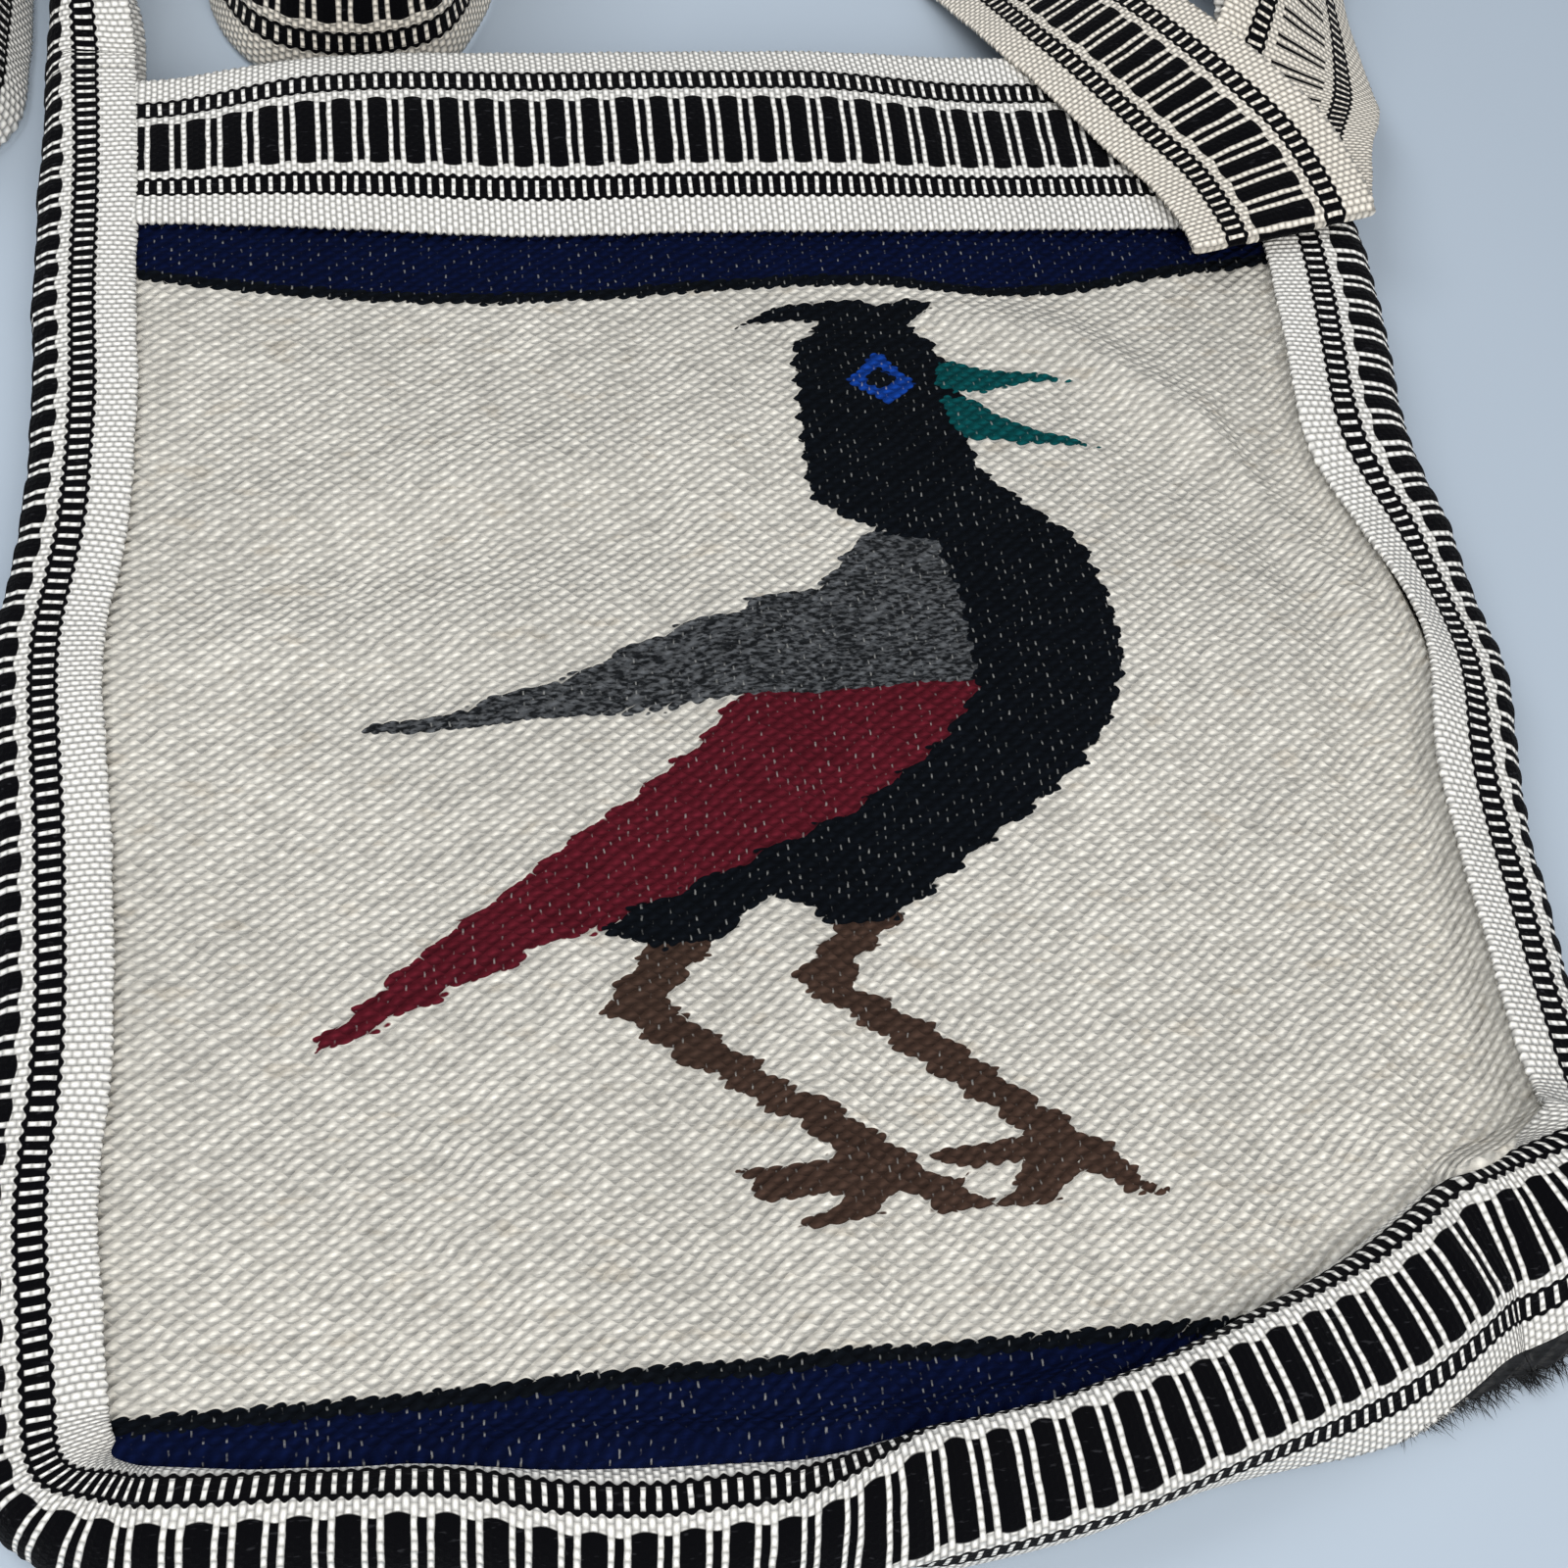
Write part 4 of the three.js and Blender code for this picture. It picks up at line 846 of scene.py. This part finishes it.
def loose_fuzz(edge, outward, material):
    """Short hairs that stand out of the back wool's loose edge, each a thin three-sided spike."""
    draw = np.random.default_rng(4)
    vertices, faces = [], []
    for _ in range(LOOSE_HAIRS):
        at = draw.uniform(0, len(edge) - 1)
        near = int(at)
        root = edge[near] + (edge[min(near + 1, len(edge) - 1)] - edge[near]) * (at - near)
        swing = draw.normal(0, 0.7)
        out, beside = outward[near], np.array([-outward[near][1], outward[near][0]])
        flat = out * math.cos(swing) + beside * math.sin(swing)
        heading = unit(np.array([*flat, draw.uniform(-0.15, 0.45)]))
        side = unit(np.cross(heading, (0, 0, 1)))
        up = np.cross(heading, side)
        length, bend = draw.uniform(*HAIR_LENGTHS), draw.normal(0, 1.1)
        root = root - heading * HAIR_ROOT + np.array([0, 0, draw.uniform(-0.9, 1.1)])
        first = len(vertices)
        for ring in range(HAIR_RINGS):
            share = ring / HAIR_RINGS
            centre = root + heading * (length + HAIR_ROOT) * share + side * bend * share ** 2
            radius = HAIR_RADIUS * (1 - 0.7 * share)
            for corner in range(3):
                angle = 2 * math.pi * corner / 3
                vertices.append(centre + radius * (side * math.cos(angle) + up * math.sin(angle)))
        vertices.append(root + heading * (length + HAIR_ROOT) + side * bend)
        tip = len(vertices) - 1
        last = tip - 3
        faces.append((first, first + 2, first + 1))
        for corner in range(3):
            after = (corner + 1) % 3
            for low in range(first, last, 3):
                faces.append((low + corner, low + after, low + 3 + after, low + 3 + corner))
            faces.append((last + corner, last + after, tip))
    points = np.array(vertices)
    points[:, 2] = np.maximum(points[:, 2], 0.1)
    mesh = bpy.data.meshes.new("loose_edge_fuzz")
    mesh.from_pydata((points * MM).tolist(), [], faces)
    mesh.uv_layers.new(name="weave")
    mesh.materials.append(material)
    fuzz = placed("loose_edge_fuzz", mesh)
    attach(fuzz, "root")
    return fuzz


def back_panel(material):
    """Flat on the table in the middle, lifted over the band and trim along its edges."""
    raised = BAND_THICKNESS + CLEARANCE + WOOL_THICKNESS / 2
    points, bottom, s_grid, t_grid = sewn_sheet(back_edge, *BACK_GRID)
    from_side = np.minimum(s_grid, 1 - s_grid) * (2 * PANEL_HALF_WIDTH)
    from_foot = t_grid * (MOUTH_Y - BOTTOM_Y)
    to_trim = MOUTH_Y - BAND_WIDTH - points[..., 1]
    settled = smooth(4, 4 + SLOPE_RUN, np.minimum(from_side, from_foot)) * smooth(2, SLOPE_RUN, to_trim)
    edge_height = np.where(to_trim < SLOPE_RUN, np.maximum(raised, points[..., 2]), points[..., 2])
    points[..., 2] = edge_height * (1 - settled) + WOOL_THICKNESS / 2 * settled
    normals = grid_normals(points)
    half = WOOL_THICKNESS / 2
    front = points + normals * half
    back = points - normals * half
    back[..., 2] = np.maximum(back[..., 2], 0)
    piece = cloth_mesh("back_wool_panel", front, back, points[..., :2], [material])
    _, outward = seam_frame(LEFT_END + (RIGHT_START - LEFT_END) * s_grid[0])
    bare = bump_at(bottom[:, 0], LOOSE_MIDDLE, LOOSE_REACH) > 0.2
    fuzz = loose_fuzz(bottom[bare], outward[bare], material)
    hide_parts("back_panel")


def middle_lengths(alongs):
    middles = band_rows(alongs, np.array([BAND_WIDTH / 2]))[:, 0]
    return summed(step_lengths(middles))


def evenly_along_band():
    """Places along the seam that are evenly spaced on the band's own middle line."""
    seam = np.linspace(0, SEAM_LENGTH, BAND_STATIONS)
    places = np.linspace(0, BAND_LENGTH, 1 + round(BAND_LENGTH / BAND_STEP))
    return np.interp(places, middle_lengths(seam), seam)


BAND_LENGTH = float(middle_lengths(np.linspace(0, SEAM_LENGTH, BAND_STATIONS))[-1])


def gusset_band(materials):
    """The band folded over both panels' edges."""
    alongs = evenly_along_band()
    points = band_rows(alongs, ACROSS)
    normals = grid_normals(points)
    from_mouth = np.minimum(alongs, SEAM_LENGTH - alongs)
    pucker = 0.35 * ripple(alongs, 31, 0.4) * smooth(0, 25, from_mouth)
    pucker = pucker[:, None] * bump_at(ACROSS, 20, 11)[None]
    lengths = np.linspace(0, BAND_LENGTH, len(alongs))
    piece = band_piece("side_band", points + normals * pucker[..., None], lengths, ACROSS, materials)
    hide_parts("gusset_band")


def mouth_edge(x):
    """The front mouth edge in plan: it dips at the left end."""
    return MOUTH_Y - 4.5 + 5.5 * smooth(-136, -70, x) + 0.012 * (x + 136)


def mouth_rise(x, y):
    """How far the slack front of the mouth stands up: most under the trim's blocks, least under the strap."""
    slack = smooth(-134, -92, x) * (1 - smooth(20, 78, x))
    up_trim = smooth(MOUTH_Y - BAND_WIDTH - 4, MOUTH_Y - 14, y)
    return slack * MOUTH_SLACK * up_trim * (1 - 0.5 * smooth(MOUTH_Y - 10, MOUTH_Y + 3, y))


def mouth_trim(name, node, height, facing, materials):
    """The band sewn flat along the mouth; its ends tuck under the side bands."""
    half = PANEL_HALF_WIDTH + TRIM_TUCK
    in_front = facing > 0
    alongs = np.arange(-half, half, BAND_STEP)
    points = np.zeros((len(alongs), len(ACROSS), 3))
    points[..., 0] = alongs[:, None] * facing
    top = MOUTH_Y + in_front * (mouth_edge(alongs) - MOUTH_Y)
    sag = 0.4 * ripple(alongs, 120, 0.5) - 3 + 4.5 * (1 - smooth(-136, -50, alongs))
    low = MOUTH_Y - BAND_WIDTH + in_front * sag
    points[..., 1] = top[:, None] + (low - top)[:, None] * ACROSS[None] / BAND_WIDTH
    tucked = smooth(half - TRIM_TUCK - 2, half, np.abs(alongs))
    wave = 0.35 * ripple(alongs, 88, 1.1)[:, None] * bump_at(ACROSS, 25, 25)[None]
    points[..., 2] = height + in_front * wave - facing * TRIM_TUCK_DEPTH * tucked[:, None]
    points[..., 2] += in_front * mouth_rise(points[..., 0], points[..., 1])
    piece = band_piece(name, points, alongs + half, ACROSS, materials)
    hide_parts(node)


# The strap's places: x and y from its mouth corner, height, the compass angle and tilt of the band's width,
# and how far the band is still curled round as it is on the bag.
SIDE_HALF = (BACK_LAP - FLAT_LAP) / math.pi
CURL_REACH = FLAT_LAP + SIDE_HALF
CURL_HEIGHT = BAND_THICKNESS / 2 + SIDE_HALF
STRAP_FROM_RIGHT = [
    (CURL_REACH, 0, CURL_HEIGHT, 0, -90, 1), (CURL_REACH, 7, CURL_HEIGHT, 0, -90, 1),
    (CURL_REACH - 1, 19, 10.5, 0, -80, 0.8), (17, 36, 13.5, 0, -50, 0.45), (14, 58, 7, 0, -14, 0.1),
    (13, 76, 2.2, 0, 0, 0), (13.5, 90, 3, 0, 0, 0), (15, 100, 17, 0, 0, 0), (17, 93, 31, 0, -6, 0),
    (23, 74, 35.5, -4, -22, 0), (27, 56, 31, -7, -38, 0), (28, 38, 24, -8, -46, 0),
    (25, 17, 20.5, -10, -36, 0), (18, -6, 17.8, -8, -14, 0), (8, -28, 19.2, -2, -4, 0),
    (3, -50, 19.4, 8, 0, 0), (2, -57.6, 19.8, 13, 0, 0), (1.6, -59.6, 21, 14, 0, 0),
    (1.2, -57.6, 22.2, 15, 1, 0), (-5, -37, 23.6, 22, 6, 0), (-16, -19.5, 24, 30, 8, 0),
    (-30, 5, 21.5, 36, 4, 0), (-38, 21, 17.5, 37, 1, 0), (-44, 41, 10, 37, 0, 0), (-51, 60, 4, 40, 0, 0),
    (-63, 78, 2.2, 50, 0, 0), (-84, 93, 2.6, 66, 3, 0), (-112, 98, 7, 82, 18, 0), (-142, 91, 17, 98, 46, 0),
    (-168, 76, 24, 116, 70, 0), (-186, 56, 25.3, 142, 76, 0), (-193, 37, 25.3, 160, 76, 0),
    (-202, 22, 25.3, 125, 75, 0), (-221, 17, 25.3, 90, 74, 0), (-240, 22, 25.3, 55, 75, 0),
]
STRAP_FROM_LEFT = [
    (23, 38, 25.3, 15, 76, 0), (22, 62, 25.5, 5, 80, 0), (18, 84, 25.5, 50, 80, 0), (6, 102, 25, 70, 78, 0),
    (-14, 110, 22, 90, 55, 0), (-36, 112, 11, 90, 15, 0), (-56, 111, 12, 95, -25, 0),
    (-74, 102, 21, 125, -58, 0), (-83, 84, 25.3, 165, -76, 0), (-84, 57, 25.3, 180, -80, 0),
    (-82, 27, 25.3, 180, -82, 0), (-78, 2, 25.3, 200, -84, 0), (-66, -14, 25.3, 250, -84, 0),
    (-52, -15, 24.5, 300, -78, 0), (-41, -2, 22.8, 345, -64, 0), (-39.5, 17, 22.8, 0, -61, 0),
    (-38, 42, 23.3, 0, -65, 0), (-36, 67, 25, 0, -76, 0), (-32, 84, 25.5, 0, -86, 0),
    (-25, 92, 25.5, 0, -88, 0), (-18, 84, 25.5, 0, -88, 0), (-16, 67, 25, 0, -88, 0),
    (-17, 44, 21, 0, -89, 0.3), (-19, 24, 13, 0, -89, 0.75), (-CURL_REACH, 7, CURL_HEIGHT, 0, -90, 1),
    (-CURL_REACH, 0, CURL_HEIGHT, 0, -90, 1),
]


def through(places, knots, steps):
    """A smooth curve through places, with a tangent at each that suits its two neighbours."""
    before = np.vstack([2 * places[:1] - places[1:2], places[:-1]])
    after = np.vstack([places[1:], 2 * places[-1:] - places[-2:-1]])
    gaps = np.diff(knots)
    gap_before = np.concatenate([gaps[:1], gaps])[:, None]
    gap_after = np.concatenate([gaps, gaps[-1:]])[:, None]
    slope_before = (places - before) / gap_before
    slope_after = (after - places) / gap_after
    tangent = (slope_before * gap_after + slope_after * gap_before) / (gap_before + gap_after)
    at = np.linspace(0, len(places) - 1, steps)
    first = np.minimum(at.astype(int), len(places) - 2)
    t = (at - first)[:, None]
    gap = gaps[first][:, None]
    blend_start = 2 * t ** 3 - 3 * t ** 2 + 1
    return (blend_start * places[first] + (1 - blend_start) * places[first + 1]
            + (t ** 3 - 2 * t ** 2 + t) * gap * tangent[first] + (t ** 3 - t ** 2) * gap * tangent[first + 1])


def shoulder_strap(materials):
    """The band from one mouth corner to the other, in loose bends."""
    stations = np.array([(PANEL_HALF_WIDTH + x, MOUTH_Y + y, *rest) for x, y, *rest in STRAP_FROM_RIGHT]
                        + [(x - PANEL_HALF_WIDTH, MOUTH_Y + y, *rest) for x, y, *rest in STRAP_FROM_LEFT])
    compass, tilt = np.radians(stations[:, 3]), np.radians(stations[:, 4])
    widths = np.stack([np.cos(tilt) * np.cos(compass), np.cos(tilt) * np.sin(compass), np.sin(tilt)], -1)
    places = stations[:, :3]
    knots = summed(step_lengths(places) ** 0.5)
    even = np.arange(len(places), dtype=float)
    route = through(places, knots, ROUTE_STEPS)
    width = through(widths, even, ROUTE_STEPS)
    curl = np.clip(through(stations[:, 5:6], even, ROUTE_STEPS)[:, 0], 0, 1)
    run = summed(step_lengths(route))
    alongs = np.linspace(0, run[-1], 1 + round(run[-1] / BAND_STEP))
    route, width = (np.stack([np.interp(alongs, run, column) for column in values.T], -1)
                    for values in (route, width))
    curl = np.interp(alongs, run, curl)
    heading = unit(np.gradient(route, axis=0))
    steep = smooth(0.15, 0.5, np.abs(width[:, 2:]))
    width = unit(width - steep * heading * np.sum(width * heading, axis=1, keepdims=True))
    face = unit(np.cross(width, heading))
    slopes = curl[:, None] * np.radians(slope_at(SIDE_SLOPES, BEND_STEPS) + 90)[None]
    middle = len(BEND_STEPS) // 2
    sides = summed(BEND_STEP * np.cos(slopes), axis=1)
    outs = summed(BEND_STEP * np.sin(slopes), axis=1)
    sides, outs = sides - sides[:, middle:middle + 1], outs - outs[:, middle:middle + 1]
    side, out = (np.stack([np.interp(ACROSS, BEND_GRID, row) for row in rows]) for rows in (sides, outs))
    points = route[:, None] + width[:, None] * side[..., None] + face[:, None] * out[..., None]
    lowest = points[..., 2].min(axis=1)
    points[..., 2] += np.maximum(0, BAND_THICKNESS * (1 - 0.5 * curl) - lowest)[:, None]
    repeats = round((BAND_LENGTH + run[-1]) / PATTERN_REPEAT) * PATTERN_REPEAT - BAND_LENGTH
    piece = band_piece("carrying_strap", points, BAND_LENGTH + alongs * repeats / run[-1], ACROSS, materials)
    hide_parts("shoulder_strap")


# Studio

def camera():
    """The photograph's viewpoint."""
    data = bpy.data.cameras.new("camera")
    data.sensor_width = 36
    data.lens = LENS
    data.clip_start = 0.01
    rig = placed("camera", data)
    right = Vector(CAMERA_RIGHT)
    up = Vector(CAMERA_UP)
    turn = Matrix((right, up, right.cross(up))).transposed()
    rig.matrix_world = Matrix.Translation(Vector(CAMERA_PLACE) * MM) @ turn.to_4x4()
    bpy.context.scene.camera = rig


def softbox(name, place, size, power, colour):
    """A square light that faces the bag."""
    data = bpy.data.lights.new(name, "AREA")
    data.size = size
    data.energy = power
    data.color = colour
    lamp = placed(name, data)
    lamp.location = place
    lamp.rotation_euler = (Vector((0, 0, 0)) - Vector(place)).to_track_quat("-Z", "Y").to_euler()


def studio():
    bpy.ops.object.select_all(action="DESELECT")
    bpy.ops.mesh.primitive_plane_add(size=FLOOR_SIZE, location=(0, 0, -FLOOR_DROP))
    floor = bpy.context.object
    floor.name = "floor"
    floor.data.materials.append(floor_paint())
    softbox("window_light", place=(-0.6, 0.4, 1.0), size=0.7, power=6.2, colour=(0.98, 0.99, 1))
    softbox("room_light", place=(0.1, -0.8, 1.0), size=1.0, power=14.6, colour=(1, 0.98, 0.95))
    world = bpy.data.worlds.new("studio")
    world.use_nodes = True
    sky = world.node_tree.nodes["Background"]
    sky.inputs["Color"].default_value = SKY_COLOUR
    sky.inputs["Strength"].default_value = SKY_STRENGTH
    bpy.context.scene.world = world
    bpy.context.scene.view_settings.view_transform = "Standard"


camera()
studio()
band = [band_weave("band_face", False), band_weave("band_reverse", True)]
front_panel(front_wool())
back_panel(back_wool())
gusset_band(band)
trim_height = float(band_rows(np.array([0.0]), np.array([0.0, 1.0]))[0, 0, 2])
mouth_trim("front_trim", "front_mouth_trim", trim_height, 1, band)
mouth_trim("back_trim", "back_mouth_trim", BAND_THICKNESS / 2, -1, band)
shoulder_strap(band)
